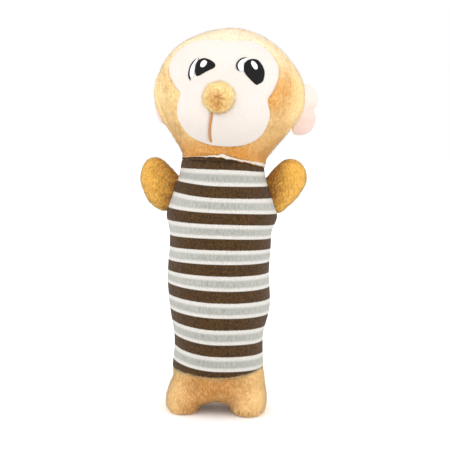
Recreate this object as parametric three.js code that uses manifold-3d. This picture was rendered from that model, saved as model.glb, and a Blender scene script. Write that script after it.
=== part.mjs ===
// Plush monkey squeak toy for a dog, standing on two stubby feet. Millimetres, +Z up, face towards -Y,
// origin on the floor under the middle of the toy's box.
import * as THREE from 'three';
import { mergeVertices } from 'three/addons/utils/BufferGeometryUtils.js';
import Module from 'manifold-3d';

const wasm = await Module();
wasm.setup();

// Cloth, clearances and the cutting overrun
const cloth = 1.2;
const seamGap = 0.3;
const ballGap = 0.6;
const stitchThickness = 0.6;
const overrun = 3;

// Body tube, from the hem above the feet to the neck seam
const hemHeight = 24.3;
const bodyLength = 129.2;
const bodyHalfWidth = 33.6;
const bodyHalfDepth = 26;

// Neck, where head and body turn about one centre below the seam
const neckRadius = 24.6;
const neckCentreDrop = 20;
const neckPlugDepth = 14;
const neckFlatShare = 0.93;
const plugShare = 0.88;

// Head
const headHeight = 77.5;
const headHalfWidth = 44.8;
const headFrontDepth = 36;
const headBackDepth = 37;
const headTurn = THREE.MathUtils.degToRad(-5.5);
const headLean = THREE.MathUtils.degToRad(3);

// Muzzle that swells out of the face, measured up from the neck seam
const muzzleHeight = 25;
const muzzleHalfWidth = 30;
const muzzleHalfHeight = 20.5;
const muzzleSwell = 12;

// Face panel: a wide lobe round the eyes over a lobe round the muzzle
const browHeight = 51;
const browHalfWidth = 31.5;
const browRise = 17.5;
const browDrop = 22;
const cheekHeight = 25.5;
const cheekHalfWidth = 27;
const cheekHalfHeight = 18.8;
const lobePowerShare = 2.3;

// Nose, mouth and eyes
const noseHeight = 33.6;
const noseRadius = 8.8;
const noseDepth = 6.4;
const noseSeatShare = 0.33;
const mouthBottomHeight = 8.5;
const mouthRadius = 0.7;
const eyeHeight = 49.8;
const eyeSpacing = 13.6;
const eyeShift = 2;
const eyeHalfWidth = 5.6;
const eyeHalfHeight = 7.6;
const glintRadius = 2.2;
const glintLift = 2.6;
const lidGap = 1.6;
const lidWidth = 0.9;

// Ears, round and cupped, sewn in the side seam of the head
const earHeight = 31.5;
const earHalfHeight = 16;
const earHalfWidth = 10.6;
const earHalfThickness = 2.6;
const earCup = 2.4;
const earNotchShare = 0.14;
const earNotchWidthShare = 0.3;
const earStandoff = 0.35;
const earSeamBack = 4;
const earSplayRight = THREE.MathUtils.degToRad(74);
const earSplayLeft = THREE.MathUtils.degToRad(84);
const earForward = THREE.MathUtils.degToRad(60);
const earBack = THREE.MathUtils.degToRad(4);

// Arms, flat mitts sewn in the side seams of the body
const armHalfLength = 16;
const armHalfWidth = 11.2;
const armHalfThickness = 8;
const armRoot = 10;
const armStandoff = 0.7;
const armSwing = THREE.MathUtils.degToRad(45);

// Legs: a short hip over two stubby feet, parted by an arch
const footSpacing = 18.9;
const footHalfWidth = 12.4;
const footHalfDepth = 18;
const footHalfHeight = 12.5;
const soleFlat = 0.5;
const archHeight = 6.6;

// Squeaker: a blow-moulded bellows with a reed in its base
const squeakerFloor = 62;
const squeakerRadius = 14;
const squeakerWall = 1;
const squeakerBaseHeight = 14;
const squeakerCapHeight = 8;
const bellowsHeight = 12;
const bellowsFolds = 3;
const bellowsDepth = 2.4;
const reedRadius = 5;
const reedLength = 11;
const reedFlange = 1.6;
const squeakerClearance = 1;

// Facets, with the slack that keeps a coarse filling clear of the cloth round it
const bodySegments = 24;
const bodyRings = 12;
const headRings = 15;
const fibreSegments = 16;
const fibreRings = 8;
const fibreSlack = 0.9;
const weldShare = 3e-4;
const slopeStepShare = 1e-3;
const pillowRings = 3;
const pillowSegments = 18;
const footSegments = 16;
const hipRings = 4;
const ballSegments = 28;
const ballRings = 20;
const outlineSegments = 24;
const smallSegments = 12;
const lineSteps = 10;
const sheetSteps = 8;
const turnedSegments = 20;

// Heights worked out from the sizes above
const neckHeight = hemHeight + bodyLength;
const neckCentre = new THREE.Vector3(0, 0, neckHeight - neckCentreDrop);
const ballRadius = Math.hypot(neckRadius, neckCentreDrop);
const upperBodyHeight = squeakerFloor + squeakerBaseHeight + bellowsHeight / 2;
const squeakerHeight = squeakerBaseHeight + bellowsHeight + squeakerCapHeight;

const colours = {
  plush: 0xd3a169,
  velour: 0xfaf5ee,
  pink: 0xf4dcd2,
  jersey: 0x8d7d6d,
  fibre: 0xf2f0ea,
  black: 0x191413,
  white: 0xffffff,
  thread: 0xb98d62,
  plastic: 0xe8e4d8,
};

function finish(colour, roughness) {
  return new THREE.MeshStandardMaterial({ color: colour, roughness, metalness: 0 });
}

const finishes = {
  plush: finish(colours.plush, 0.95),
  velour: finish(colours.velour, 0.9),
  pink: finish(colours.pink, 0.9),
  jersey: finish(colours.jersey, 0.85),
  fibre: finish(colours.fibre, 1),
  black: finish(colours.black, 0.5),
  white: finish(colours.white, 0.5),
  thread: finish(colours.thread, 0.6),
  plastic: finish(colours.plastic, 0.35),
};

// Closed geometry as a solid that can be joined and cut, and back again
const weldTolerance = seamGap * weldShare;

function solid(geometry) {
  const bare = new THREE.BufferGeometry();
  bare.setAttribute('position', geometry.getAttribute('position'));
  bare.setIndex(geometry.getIndex());
  const merged = mergeVertices(bare, weldTolerance);
  const vertProperties = new Float32Array(merged.getAttribute('position').array);
  const triVerts = new Uint32Array(merged.getIndex().array);
  return new wasm.Manifold(new wasm.Mesh({ numProp: 3, vertProperties, triVerts }));
}

function geometryOf(body) {
  const mesh = body.getMesh();
  const geometry = new THREE.BufferGeometry();
  geometry.setAttribute('position', new THREE.BufferAttribute(mesh.vertProperties, 3));
  geometry.setIndex(new THREE.BufferAttribute(mesh.triVerts, 1));
  geometry.computeVertexNormals();
  return geometry;
}

function piece(name, body, material) {
  const mesh = new THREE.Mesh(geometryOf(body), material);
  mesh.name = name;
  return mesh;
}

// A closed skin through rows of points, each row a ring in the same direction, with its ends fanned shut
function skin(rows, firstApex, lastApex) {
  const count = rows[0].length;
  const points = rows.flat();
  const first = points.push(firstApex) - 1;
  const last = points.push(lastApex) - 1;
  const faces = [];
  for (let j = 0; j < count; j++) {
    const k = (j + 1) % count;
    faces.push(first, k, j);
    for (let i = 0; i + 1 < rows.length; i++) {
      const a = i * count;
      const b = a + count;
      faces.push(a + j, a + k, b + k, a + j, b + k, b + j);
    }
    const top = (rows.length - 1) * count;
    faces.push(last, top + j, top + k);
  }
  const geometry = new THREE.BufferGeometry().setFromPoints(points);
  geometry.setIndex(faces);
  return geometry;
}

function range(count, make) {
  return Array.from({ length: count }, (_, i) => make(i));
}

function middle(points) {
  const sum = points.reduce((total, p) => total.add(p), new THREE.Vector3());
  return sum.divideScalar(points.length);
}

// A point of a surface moved inwards along the surface's own normal
function inset(surface, u, v, depth) {
  const step = slopeStepShare;
  const p = surface(u, v);
  const along = surface(u + step, v).sub(surface(u - step, v));
  const up = surface(u, Math.min(v + step, 1)).sub(surface(u, v - step));
  const normal = along.cross(up).normalize();
  return p.addScaledVector(normal, -depth);
}

// A lofted solid whose surface runs round with u and up with v; a poled one closes at its crown
function loft(surface, depth, segments, rings, poled) {
  const last = poled ? rings : rings + 1;
  const rows = range(last, (i) => range(segments, (j) => inset(surface, j / segments, i / rings, depth)));
  const crown = surface(0, 1);
  crown.z -= depth;
  const top = poled ? crown : middle(rows[rows.length - 1]);
  return solid(skin(rows, middle(rows[0]), top));
}

function boxBetween(low, high) {
  const size = new THREE.Vector3().subVectors(high, low);
  const box = new THREE.BoxGeometry(size.x, size.y, size.z);
  const centre = new THREE.Vector3().addVectors(low, high).divideScalar(2);
  return solid(box.translate(centre.x, centre.y, centre.z));
}

const reach = neckHeight + headHeight;

function slab(low, high) {
  return boxBetween(new THREE.Vector3(-reach, -reach, low), new THREE.Vector3(reach, reach, high));
}

// Everything in front of, or behind, the plane of the side seams
function sideOf(front) {
  const near = seamGap / 2;
  const low = new THREE.Vector3(-reach, front ? -reach : near, -reach);
  const high = new THREE.Vector3(reach, front ? -near : reach, 2 * reach);
  return boxBetween(low, high);
}

const frontHalf = sideOf(true);
const backHalf = sideOf(false);

function ball(radius) {
  const sphere = new THREE.SphereGeometry(radius, ballSegments, ballRings).rotateX(Math.PI / 2);
  return solid(sphere.translate(neckCentre.x, neckCentre.y, neckCentre.z));
}

// A value that runs smoothly through a table of shares, each row a height followed by its values
function through(shares, height, column) {
  const last = shares.length - 1;
  const inside = THREE.MathUtils.clamp(height, 0, 1);
  const i = Math.min(shares.findIndex((row) => inside <= row[0]) || 1, last) - 1;
  const slope = (k) => {
    const a = shares[Math.max(k - 1, 0)];
    const b = shares[Math.min(k + 1, last)];
    return (b[column] - a[column]) / (b[0] - a[0]);
  };
  const span = shares[i + 1][0] - shares[i][0];
  const t = (inside - shares[i][0]) / span;
  const a = shares[i][column];
  const b = shares[i + 1][column];
  const bulge = t * (1 - t) * span * ((1 - t) * slope(i) - t * slope(i + 1));
  return a + (b - a) * t * t * (3 - 2 * t) + bulge;
}

// Body tube: height, half-width and half-depth as shares of the body's own
const bodyShares = [
  [0, 0.87, 0.79],
  [0.15, 0.81, 0.91],
  [0.34, 0.9, 1],
  [0.58, 0.905, 1],
  [0.67, 0.93, 0.99],
  [0.77, 1, 0.98],
  [0.87, 0.885, 0.95],
  [0.93, 0.805, 0.92],
];

function bodyAt(height) {
  const neck = [1, neckRadius / bodyHalfWidth, neckRadius / bodyHalfDepth * neckFlatShare];
  const table = [...bodyShares, neck];
  return {
    halfWidth: bodyHalfWidth * through(table, height, 1),
    halfDepth: bodyHalfDepth * through(table, height, 2),
  };
}

function bodySurface(u, v) {
  const turn = 2 * Math.PI * u;
  const { halfWidth, halfDepth } = bodyAt(v);
  return new THREE.Vector3(
    halfWidth * Math.sin(turn),
    -halfDepth * Math.cos(turn),
    hemHeight + bodyLength * v,
  );
}

// The tube runs on past both seams, so that each end can be cut to its neighbour
function bodyTube(depth, segments = bodySegments, rings = bodyRings) {
  const rows = range(rings + 1, (i) =>
    range(segments, (j) => inset(bodySurface, j / segments, i / rings, depth)));
  const below = rows[0].map((p) => new THREE.Vector3(p.x, p.y, hemHeight - overrun));
  const above = rows[rings].map((p) => new THREE.Vector3(p.x, p.y, neckHeight + overrun));
  const flatRows = rows.map((row, i) => row.map((p) => {
    p.z = hemHeight + bodyLength * i / rings;
    return p;
  }));
  const all = [below, ...flatRows, above];
  return solid(skin(all, middle(below), middle(above)));
}

const bodyOuter = bodyTube(0);
const overBall = slab(neckHeight - overrun, reach).subtract(ball(ballRadius));
const coverSpan = slab(hemHeight + seamGap, reach);
const bodyCover = bodyOuter.subtract(bodyTube(cloth)).intersect(coverSpan).subtract(overBall);

// Squeaker, turned about its own upright axis
function turned(points) {
  const profile = points.map(([radius, height]) => new THREE.Vector2(radius, height));
  profile.push(profile[0].clone());
  return new THREE.LatheGeometry(profile, turnedSegments).rotateX(Math.PI / 2);
}

const baseProfile = [
  [reedRadius + seamGap, 0],
  [squeakerRadius - squeakerWall, 0],
  [squeakerRadius, squeakerWall],
  [squeakerRadius, squeakerBaseHeight - seamGap],
  [squeakerRadius - squeakerWall, squeakerBaseHeight - seamGap],
  [squeakerRadius - squeakerWall, 2 * squeakerWall],
  [reedRadius + seamGap, 2 * squeakerWall],
];

const bellowsPoints = range(2 * bellowsFolds + 1, (i) => {
  const radius = squeakerRadius - (i % 2 ? 0 : bellowsDepth);
  return [radius, squeakerBaseHeight + bellowsHeight * i / (2 * bellowsFolds)];
});
const bellowsInside = bellowsPoints.map(([radius, height]) => [radius - squeakerWall, height]).reverse();
const capFloor = squeakerBaseHeight + bellowsHeight + seamGap;
const capTop = squeakerHeight;
const capProfile = [
  [squeakerRadius - squeakerWall, capFloor],
  [squeakerRadius, capFloor],
  [squeakerRadius, capTop - 2 * squeakerWall],
  [squeakerRadius - 2 * squeakerWall, capTop],
  [0, capTop],
  [0, capTop - squeakerWall],
  [squeakerRadius - 2 * squeakerWall, capTop - squeakerWall],
  [squeakerRadius - squeakerWall, capTop - 2 * squeakerWall],
];
const reedProfile = [
  [reedRadius / 2, -reedFlange],
  [reedRadius + reedFlange, -reedFlange],
  [reedRadius + reedFlange, -seamGap],
  [reedRadius, -seamGap],
  [reedRadius, reedLength],
  [reedRadius / 2, reedLength],
];

function squeakerPiece(name, profile) {
  const mesh = new THREE.Mesh(turned(profile), finishes.plastic);
  mesh.name = name;
  return mesh;
}

const squeaker = new THREE.Group();
squeaker.position.z = squeakerFloor;
squeaker.add(
  squeakerPiece('squeaker_base', baseProfile),
  squeakerPiece('squeaker_bellows', [...bellowsPoints, ...bellowsInside]),
  squeakerPiece('squeaker_cap', capProfile),
  squeakerPiece('squeaker_reed', reedProfile),
);

// The hollow in the fibre that holds the squeaker, in its own upright place
const hollowRadius = squeakerRadius + squeakerClearance;
const hollowProfile = [
  [0, -reedFlange - seamGap],
  [hollowRadius, -reedFlange - seamGap],
  [hollowRadius, squeakerHeight + seamGap],
  [0, squeakerHeight + seamGap],
];
const hollow = solid(turned(hollowProfile)).translate([0, 0, squeakerFloor]);

// Fibre filling of the body, parted at the squeaker's middle, and the plug of the neck above it
const plugFloor = neckHeight - neckPlugDepth;
const fibreDepth = cloth + seamGap + fibreSlack;
const fibreBody = bodyTube(fibreDepth, fibreSegments, fibreRings).subtract(hollow);
const fibreLower = fibreBody.intersect(slab(hemHeight + seamGap, upperBodyHeight - seamGap / 2));
const fibreUpper = fibreBody.intersect(slab(upperBodyHeight + seamGap / 2, plugFloor - seamGap));

const plugRadius = Math.min(neckRadius, bodyHalfDepth * plugShare) - cloth - ballGap;
const plugPost = new THREE.CylinderGeometry(plugRadius, plugRadius, 2 * neckPlugDepth, bodySegments);
const plugColumn = solid(plugPost.rotateX(Math.PI / 2)).translate([0, 0, neckHeight]);
const neckPlug = plugColumn.intersect(ball(ballRadius)).intersect(slab(plugFloor, reach));

// Head: half-width and half-depths follow one outline, narrow at the neck and round over the crown
const headWideShare = 0.475;
const crownPowerShare = 0.56;
const muzzlePowerShare = 0.75;
const muzzleFadeShare = 3;
const ringPowerShare = 1.25;

function headOutline(height, neckShare) {
  if (height < headWideShare) {
    return neckShare + (1 - neckShare) * Math.sin(Math.PI / 2 * height / headWideShare);
  }
  const rise = Math.min((height - headWideShare) / (1 - headWideShare), 1);
  return (1 - rise * rise) ** crownPowerShare;
}

function muzzleAt(x, z) {
  const across = x / muzzleHalfWidth;
  const up = (z - neckHeight - muzzleHeight) / muzzleHalfHeight;
  const far = Math.min(Math.hypot(across, up), 1);
  return muzzleSwell * (1 - far * far) ** muzzlePowerShare;
}

function headSection(z) {
  const height = (z - neckHeight) / headHeight;
  return {
    halfWidth: headHalfWidth * headOutline(height, neckRadius / headHalfWidth),
    front: headFrontDepth * headOutline(height, neckRadius / headFrontDepth * neckFlatShare),
    back: headBackDepth * headOutline(height, neckRadius / headBackDepth * neckFlatShare),
  };
}

// u runs round from the back of the head, v from below the neck seam to the crown
function headSurface(u, v) {
  const floor = neckHeight - overrun;
  const rise = Math.sin(Math.PI / 2 * Math.max(v, 0) ** ringPowerShare);
  const z = floor + (neckHeight + headHeight - floor) * rise + overrun * Math.min(v, 0);
  const turn = 2 * Math.PI * u;
  const section = headSection(z);
  const facing = Math.cos(turn);
  const x = section.halfWidth * Math.sin(turn);
  const depth = facing > 0 ? section.front : section.back;
  const muzzle = facing > 0 ? muzzleAt(x, z) * Math.min(1, facing * muzzleFadeShare) : 0;
  return new THREE.Vector3(x, -depth * facing - muzzle, z);
}

function headSolid(depth) {
  return loft(headSurface, depth, bodySegments, headRings, true);
}

// How far forward the head's surface stands at a place on the face
function faceDepth(x, z) {
  const section = headSection(z);
  const round = Math.sqrt(Math.max(1 - (x / section.halfWidth) ** 2, 0));
  return section.front * round + muzzleAt(x, z);
}

function superEllipse(halfWidth, rise, drop, power, segments = outlineSegments) {
  return range(segments, (i) => {
    const angle = 2 * Math.PI * i / segments;
    const c = Math.cos(angle);
    const s = Math.sin(angle);
    const x = Math.sign(c) * Math.abs(c) ** (2 / power) * halfWidth;
    const y = Math.sign(s) * Math.abs(s) ** (2 / power) * (s > 0 ? rise : drop);
    return new THREE.Vector2(x, y);
  });
}

// A flat outline pushed through the front of the head
function throughFace(points) {
  const shape = new THREE.Shape(points);
  const prism = new THREE.ExtrudeGeometry(shape, { depth: reach, bevelEnabled: false });
  return solid(prism.rotateX(Math.PI / 2).translate(0, seamGap, 0)).intersect(frontHalf);
}

function lobe(halfWidth, rise, drop, height, grow) {
  const points = superEllipse(halfWidth + grow, rise + grow, drop + grow, lobePowerShare);
  return throughFace(points.map((p) => p.add(new THREE.Vector2(0, neckHeight + height))));
}

function facePrism(grow) {
  const brow = lobe(browHalfWidth, browRise, browDrop, browHeight, grow);
  const cheeks = lobe(cheekHalfWidth, cheekHalfHeight, cheekHalfHeight, cheekHeight, grow);
  return brow.add(cheeks);
}

const headOuter = headSolid(0);
const headInner = headSolid(cloth);
const neckCup = ball(ballRadius + ballGap);
const headCloth = headOuter.subtract(headInner).subtract(neckCup);
const facePanel = headCloth.intersect(frontHalf).intersect(facePrism(-seamGap / 2));
const headFront = headCloth.intersect(frontHalf).subtract(facePrism(seamGap / 2));
const headBack = headCloth.intersect(backHalf);
const headFibre = headSolid(cloth + 2 * seamGap).subtract(neckCup);

// Embroidery is a thin layer that follows the face
const stitchFloor = headSolid(-seamGap);
const stitchTop = headSolid(-seamGap - stitchThickness);
const stitchLayer = stitchTop.subtract(stitchFloor);
const glintTop = headSolid(-2 * seamGap - 2 * stitchThickness);
const glintLayer = glintTop.subtract(headSolid(-2 * seamGap - stitchThickness));

function tilted(points, angle, centre) {
  const turn = THREE.MathUtils.degToRad(angle);
  return points.map((p) => p.clone().rotateAround(new THREE.Vector2(), turn).add(centre));
}

// Each eye, angles in degrees: the tilt of its oval, its flat cut and its lid line's arc
const eyes = {
  eye_left: { side: -1, tilt: -29, cutShare: 0.2, slope: 26, lidArc: [109, 212] },
  eye_right: { side: 1, tilt: 9, cutShare: 0.62, slope: -43, lidArc: [97, 189] },
};

// A thin strip that runs round beside an eye from one angle to another
function lidStrip(from, to) {
  const arc = (grow) => range(lineSteps + 1, (i) => {
    const angle = THREE.MathUtils.degToRad(from + (to - from) * i / lineSteps);
    return new THREE.Vector2(
      (eyeHalfWidth + lidGap + grow) * Math.cos(angle),
      (eyeHalfHeight + lidGap + grow) * Math.sin(angle),
    );
  });
  return [...arc(lidWidth), ...arc(0).reverse()];
}

function eyePieces(name, { side, tilt, cutShare, slope, lidArc }) {
  const centre = new THREE.Vector2(eyeShift + side * eyeSpacing, neckHeight + eyeHeight);
  const oval = superEllipse(eyeHalfWidth, eyeHalfHeight, eyeHalfHeight, 2, 2 * smallSegments);
  const cutter = [
    new THREE.Vector2(-2 * eyeHalfHeight, -2 * eyeHalfHeight),
    new THREE.Vector2(2 * eyeHalfHeight, -2 * eyeHalfHeight),
    new THREE.Vector2(2 * eyeHalfHeight, -cutShare * eyeHalfHeight),
    new THREE.Vector2(-2 * eyeHalfHeight, -cutShare * eyeHalfHeight),
  ];
  const eye = throughFace(tilted(oval, tilt, centre)).subtract(throughFace(tilted(cutter, slope, centre)));
  const lid = throughFace(tilted(lidStrip(...lidArc), 0, centre));
  const glintCentre = centre.clone().add(new THREE.Vector2(0, glintLift));
  const glintOval = superEllipse(glintRadius, glintRadius, glintRadius, 2, smallSegments);
  const glint = throughFace(tilted(glintOval, 0, glintCentre));
  return [
    piece(name, stitchLayer.intersect(eye), finishes.black),
    piece(`${name}_glint`, glintLayer.intersect(glint), finishes.white),
    piece(`${name}_lid_line`, stitchLayer.intersect(lid), finishes.black),
  ];
}

// Nose: a gathered ball that sits on the top of the muzzle
const noseZ = neckHeight + noseHeight;
const noseFront = faceDepth(0, noseZ);
const noseBall = new THREE.SphereGeometry(1, pillowSegments, smallSegments);
noseBall.scale(noseRadius, noseDepth, noseRadius).translate(0, -noseFront - noseDepth * noseSeatShare, noseZ);
const nose = solid(noseBall).subtract(stitchFloor);

// Mouth: one line of thread that drops from under the nose over the muzzle
const mouthLift = seamGap + mouthRadius;
const mouthTopHeight = noseHeight - noseRadius - mouthLift;
const mouthPoints = range(sheetSteps + 1, (i) => {
  const share = i / sheetSteps;
  const z = neckHeight + mouthTopHeight + (mouthBottomHeight - mouthTopHeight) * share;
  const x = -mouthRadius * Math.sin(Math.PI * share);
  return new THREE.Vector3(x, -faceDepth(x, z) - mouthLift, z);
});
const mouthPath = new THREE.CatmullRomCurve3(mouthPoints);
const mouthSection = new THREE.Shape(superEllipse(mouthRadius, mouthRadius, mouthRadius, 2, smallSegments / 2));
const mouthTube = new THREE.ExtrudeGeometry(mouthSection, {
  steps: sheetSteps,
  extrudePath: mouthPath,
  bevelEnabled: false,
});
const mouth = solid(mouthTube).subtract(stitchFloor);

// A stuffed flat shape sewn to its carrier along the line x = 0, standing out along +x, as high as z.
// It swells from its edge to its middle, and thins towards its seam. Its skin runs on past the seam,
// where the carrier cuts it, and its inside stops short of it.
const seamInsetShare = 0.86;
const seamSwellShare = 0.17;
const edgePower = 2.5;
const swellPower = 2.4;
const tinyShare = 1e-9;

function pillow(sizes, depth, reachOf) {
  const { halfWidth, halfHeight, halfThickness, root, bend } = sizes;
  const centre = halfWidth * seamInsetShare;
  const stop = depth > 0 ? centre - depth : halfWidth;
  const row = (share, side) => range(pillowSegments, (j) => {
    const angle = 2 * Math.PI * j / pillowSegments;
    const across = Math.abs(Math.cos(angle) / (halfWidth - depth)) ** edgePower;
    const along = Math.abs(Math.sin(angle) / (halfHeight - depth)) ** edgePower;
    const toEdge = (across + along) ** (-1 / edgePower) * reachOf(angle);
    const toSeam = stop / Math.max(-Math.cos(angle), tinyShare);
    const far = Math.min(toEdge, toSeam) * share;
    const x = centre + far * Math.cos(angle);
    const thin = THREE.MathUtils.clamp(x / root + seamSwellShare, 0, 1);
    const swell = (halfThickness - depth) * Math.sqrt(1 - share ** swellPower) * thin;
    const y = side * swell + bend * (x / (2 * halfWidth)) ** 2;
    return new THREE.Vector3(x, y, far * Math.sin(angle));
  });
  const shares = range(pillowRings, (i) => Math.sin(Math.PI / 2 * (i + 1) / (pillowRings + 1)));
  const back = shares.map((share) => row(share, 1));
  const front = shares.map((share) => row(share, -1)).reverse();
  const rows = [...back, row(1, 0), ...front];
  const crown = (side) => {
    const thin = Math.min(centre / root + seamSwellShare, 1);
    const y = side * (halfThickness - depth) * thin + bend * (centre / (2 * halfWidth)) ** 2;
    return new THREE.Vector3(centre, y, 0);
  };
  return solid(skin(rows, crown(1), crown(-1)));
}

// The seam sheet between a pillow's two panels follows its bend
function behindSeam(sizes) {
  const { halfWidth, halfHeight, bend } = sizes;
  const width = 2 * halfWidth + overrun;
  const tall = 2 * halfHeight + overrun;
  const curve = range(sheetSteps + 1, (i) => {
    const x = -overrun + (width + overrun) * i / sheetSteps;
    return new THREE.Vector2(x, bend * (x / (2 * halfWidth)) ** 2);
  });
  const far = 2 * tall;
  const outline = [...curve, new THREE.Vector2(width, far), new THREE.Vector2(-overrun, far)];
  const sheet = new THREE.ExtrudeGeometry(new THREE.Shape(outline), { depth: 2 * tall, bevelEnabled: false });
  return solid(sheet.translate(0, 0, -tall));
}

// Both panels of a stuffed flat piece, and its filling, clear of a carrier that it swings beside
function stuffedPanels(sizes, reachOf, clearance) {
  const outer = pillow(sizes, 0, reachOf).subtract(clearance);
  const inner = pillow(sizes, cloth, reachOf);
  const fibre = pillow(sizes, cloth + seamGap, reachOf).subtract(clearance);
  const shell = outer.subtract(inner);
  const behind = behindSeam(sizes);
  const front = shell.subtract(behind.translate([0, -seamGap / 2, 0]));
  const back = shell.intersect(behind.translate([0, seamGap / 2, 0]));
  return { front, back, fibre };
}

// The carrier as it stands in a turned group's own frame, swept through the group's swing
function sweptCarrier(carrier, group, angles) {
  group.updateMatrix();
  const inverse = group.matrix.clone().invert();
  return angles
    .map((angle) => carrier.transform(new THREE.Matrix4().makeRotationZ(-angle).multiply(inverse).elements))
    .reduce((all, one) => all.add(one));
}

const roundShare = () => 1;
const armSizes = {
  halfWidth: armHalfWidth,
  halfHeight: armHalfLength,
  halfThickness: armHalfThickness,
  root: armRoot,
  bend: 0,
};
const armSeamShares = [0.78, 0.93];

function arm(side, name) {
  const group = new THREE.Group();
  const [low, high] = armSeamShares.map((share) => new THREE.Vector3(
    side * (bodyAt(share).halfWidth + armStandoff), 0, hemHeight + bodyLength * share));
  const up = new THREE.Vector3().subVectors(high, low).normalize();
  const back = new THREE.Vector3(0, 1, 0);
  const out = new THREE.Vector3().crossVectors(back, up).multiplyScalar(side);
  group.position.addVectors(low, high).divideScalar(2);
  const axes = new THREE.Matrix4().makeBasis(out, new THREE.Vector3().crossVectors(up, out), up);
  group.quaternion.setFromRotationMatrix(axes);
  const swings = [-armSwing, -armSwing / 2, 0, armSwing / 2, armSwing];
  const clearance = sweptCarrier(bodyTube(-seamGap), group, swings);
  const { front, back: rear, fibre } = stuffedPanels(armSizes, roundShare, clearance);
  const towardsFace = side > 0 ? front : rear;
  const towardsBack = side > 0 ? rear : front;
  group.add(
    piece(`${name}_front_panel`, towardsFace, finishes.plush),
    piece(`${name}_back_panel`, towardsBack, finishes.plush),
    piece(`${name}_filling`, fibre, finishes.fibre),
  );
  return group;
}

// An ear's edge has one notch, where the cup folds it
function earEdgeShare(angle) {
  const off = Math.atan2(Math.sin(angle), Math.cos(angle)) / earNotchWidthShare;
  return 1 - earNotchShare * Math.exp(-off * off);
}

const earSizes = {
  halfWidth: earHalfWidth,
  halfHeight: earHalfHeight,
  halfThickness: earHalfThickness,
  root: earHalfWidth,
  bend: -earCup,
};

function ear(side, name, splay) {
  const group = new THREE.Group();
  const section = headSection(neckHeight + earHeight);
  const seamSide = section.halfWidth * Math.sqrt(1 - (earSeamBack / section.back) ** 2);
  group.position.set(side * (seamSide + earStandoff), earSeamBack, neckHeight + earHeight);
  group.rotation.z = side > 0 ? splay : Math.PI - splay;
  const forward = side > 0 ? -1 : 1;
  const swings = [-earBack, 0, earForward / 2, earForward].map((angle) => forward * angle);
  const clearance = sweptCarrier(headSolid(-seamGap), group, swings);
  const sizes = { ...earSizes, bend: side * earSizes.bend };
  const outer = pillow(sizes, 0, earEdgeShare).subtract(clearance);
  const behind = behindSeam(sizes);
  const first = outer.subtract(behind.translate([0, -seamGap / 2, 0]));
  const second = outer.intersect(behind.translate([0, seamGap / 2, 0]));
  group.add(
    piece(`${name}_front`, side > 0 ? first : second, finishes.pink),
    piece(`${name}_back`, side > 0 ? second : first, finishes.plush),
  );
  return group;
}

// A rounded block: a ball whose sides are pressed flatter
const blockPowerShare = 0.6;

function softBlock(halfWidth, halfDepth, halfHeight, segments) {
  const block = new THREE.SphereGeometry(1, segments, segments / 2).rotateX(Math.PI / 2);
  const places = block.getAttribute('position');
  const press = (value) => Math.sign(value) * Math.abs(value) ** blockPowerShare;
  for (let i = 0; i < places.count; i++) {
    places.setXYZ(
      i,
      halfWidth * press(places.getX(i)),
      halfDepth * press(places.getY(i)),
      halfHeight * press(places.getZ(i)),
    );
  }
  return solid(block);
}

// Legs: the hip closes over the arch, and two stubby feet swell below it
function footSolid(side, depth, segments) {
  const block = softBlock(footHalfWidth - depth, footHalfDepth - depth, footHalfHeight - depth, segments);
  return block.translate([side * footSpacing, 0, footHalfHeight - soleFlat]);
}

function hipSolid(depth, segments) {
  const { halfWidth, halfDepth } = bodyAt(0);
  const hipHeight = hemHeight - archHeight;
  const rings = hipRings;
  const rows = range(rings + 1, (i) => {
    const rise = Math.min((i + 1) / rings, 1);
    const belly = Math.sqrt(Math.sin(Math.PI / 2 * rise));
    const z = i < rings ? archHeight + hipHeight * (1 - Math.cos(Math.PI / 2 * rise)) : hemHeight + overrun;
    return range(segments, (j) => {
      const turn = 2 * Math.PI * j / segments;
      return new THREE.Vector3(
        (halfWidth - depth) * belly * Math.sin(turn),
        -(halfDepth - depth) * belly * Math.cos(turn),
        z + depth * (1 - rise),
      );
    });
  });
  return solid(skin(rows, new THREE.Vector3(0, 0, archHeight + depth), middle(rows[rings])));
}

function legsSolid(depth, segments = footSegments) {
  return hipSolid(depth, segments).add(footSolid(1, depth, segments)).add(footSolid(-1, depth, segments));
}

const legSpan = slab(0, hemHeight);
const legOuter = legsSolid(0).intersect(legSpan);
const legInner = legsSolid(cloth).intersect(slab(cloth, reach));
const legShell = legOuter.subtract(legInner);
const legFibre = legsSolid(fibreDepth, smallSegments).intersect(slab(fibreDepth, hemHeight - seamGap));

// The whole toy
const head = new THREE.Group();
head.add(
  piece('head_front_panel', headFront, finishes.plush),
  piece('head_back_panel', headBack, finishes.plush),
  piece('face_panel', facePanel, finishes.velour),
  piece('head_filling', headFibre, finishes.fibre),
  piece('nose', nose, finishes.plush),
  piece('mouth_stitch', mouth, finishes.thread),
  ...Object.entries(eyes).flatMap(([name, sizes]) => eyePieces(name, sizes)),
  ear(-1, 'ear_left', earSplayLeft),
  ear(1, 'ear_right', earSplayRight),
);

// The head was stuffed a little askew: it turns and leans about the neck's centre
const headInPlace = new THREE.Group();
head.position.copy(neckCentre).negate();
headInPlace.add(head);
headInPlace.position.copy(neckCentre);
headInPlace.rotation.set(0, headLean, headTurn, 'YZX');

const toy = new THREE.Group();
toy.add(
  piece('body_cover', bodyCover, finishes.jersey),
  piece('body_filling_lower', fibreLower, finishes.fibre),
  piece('body_filling_upper', fibreUpper, finishes.fibre),
  piece('neck_filling', neckPlug, finishes.fibre),
  piece('leg_front_panel', legShell.intersect(frontHalf), finishes.plush),
  piece('leg_back_panel', legShell.intersect(backHalf), finishes.plush),
  piece('leg_filling', legFibre, finishes.fibre),
  squeaker,
  arm(-1, 'arm_left'),
  arm(1, 'arm_right'),
  headInPlace,
);

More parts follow.
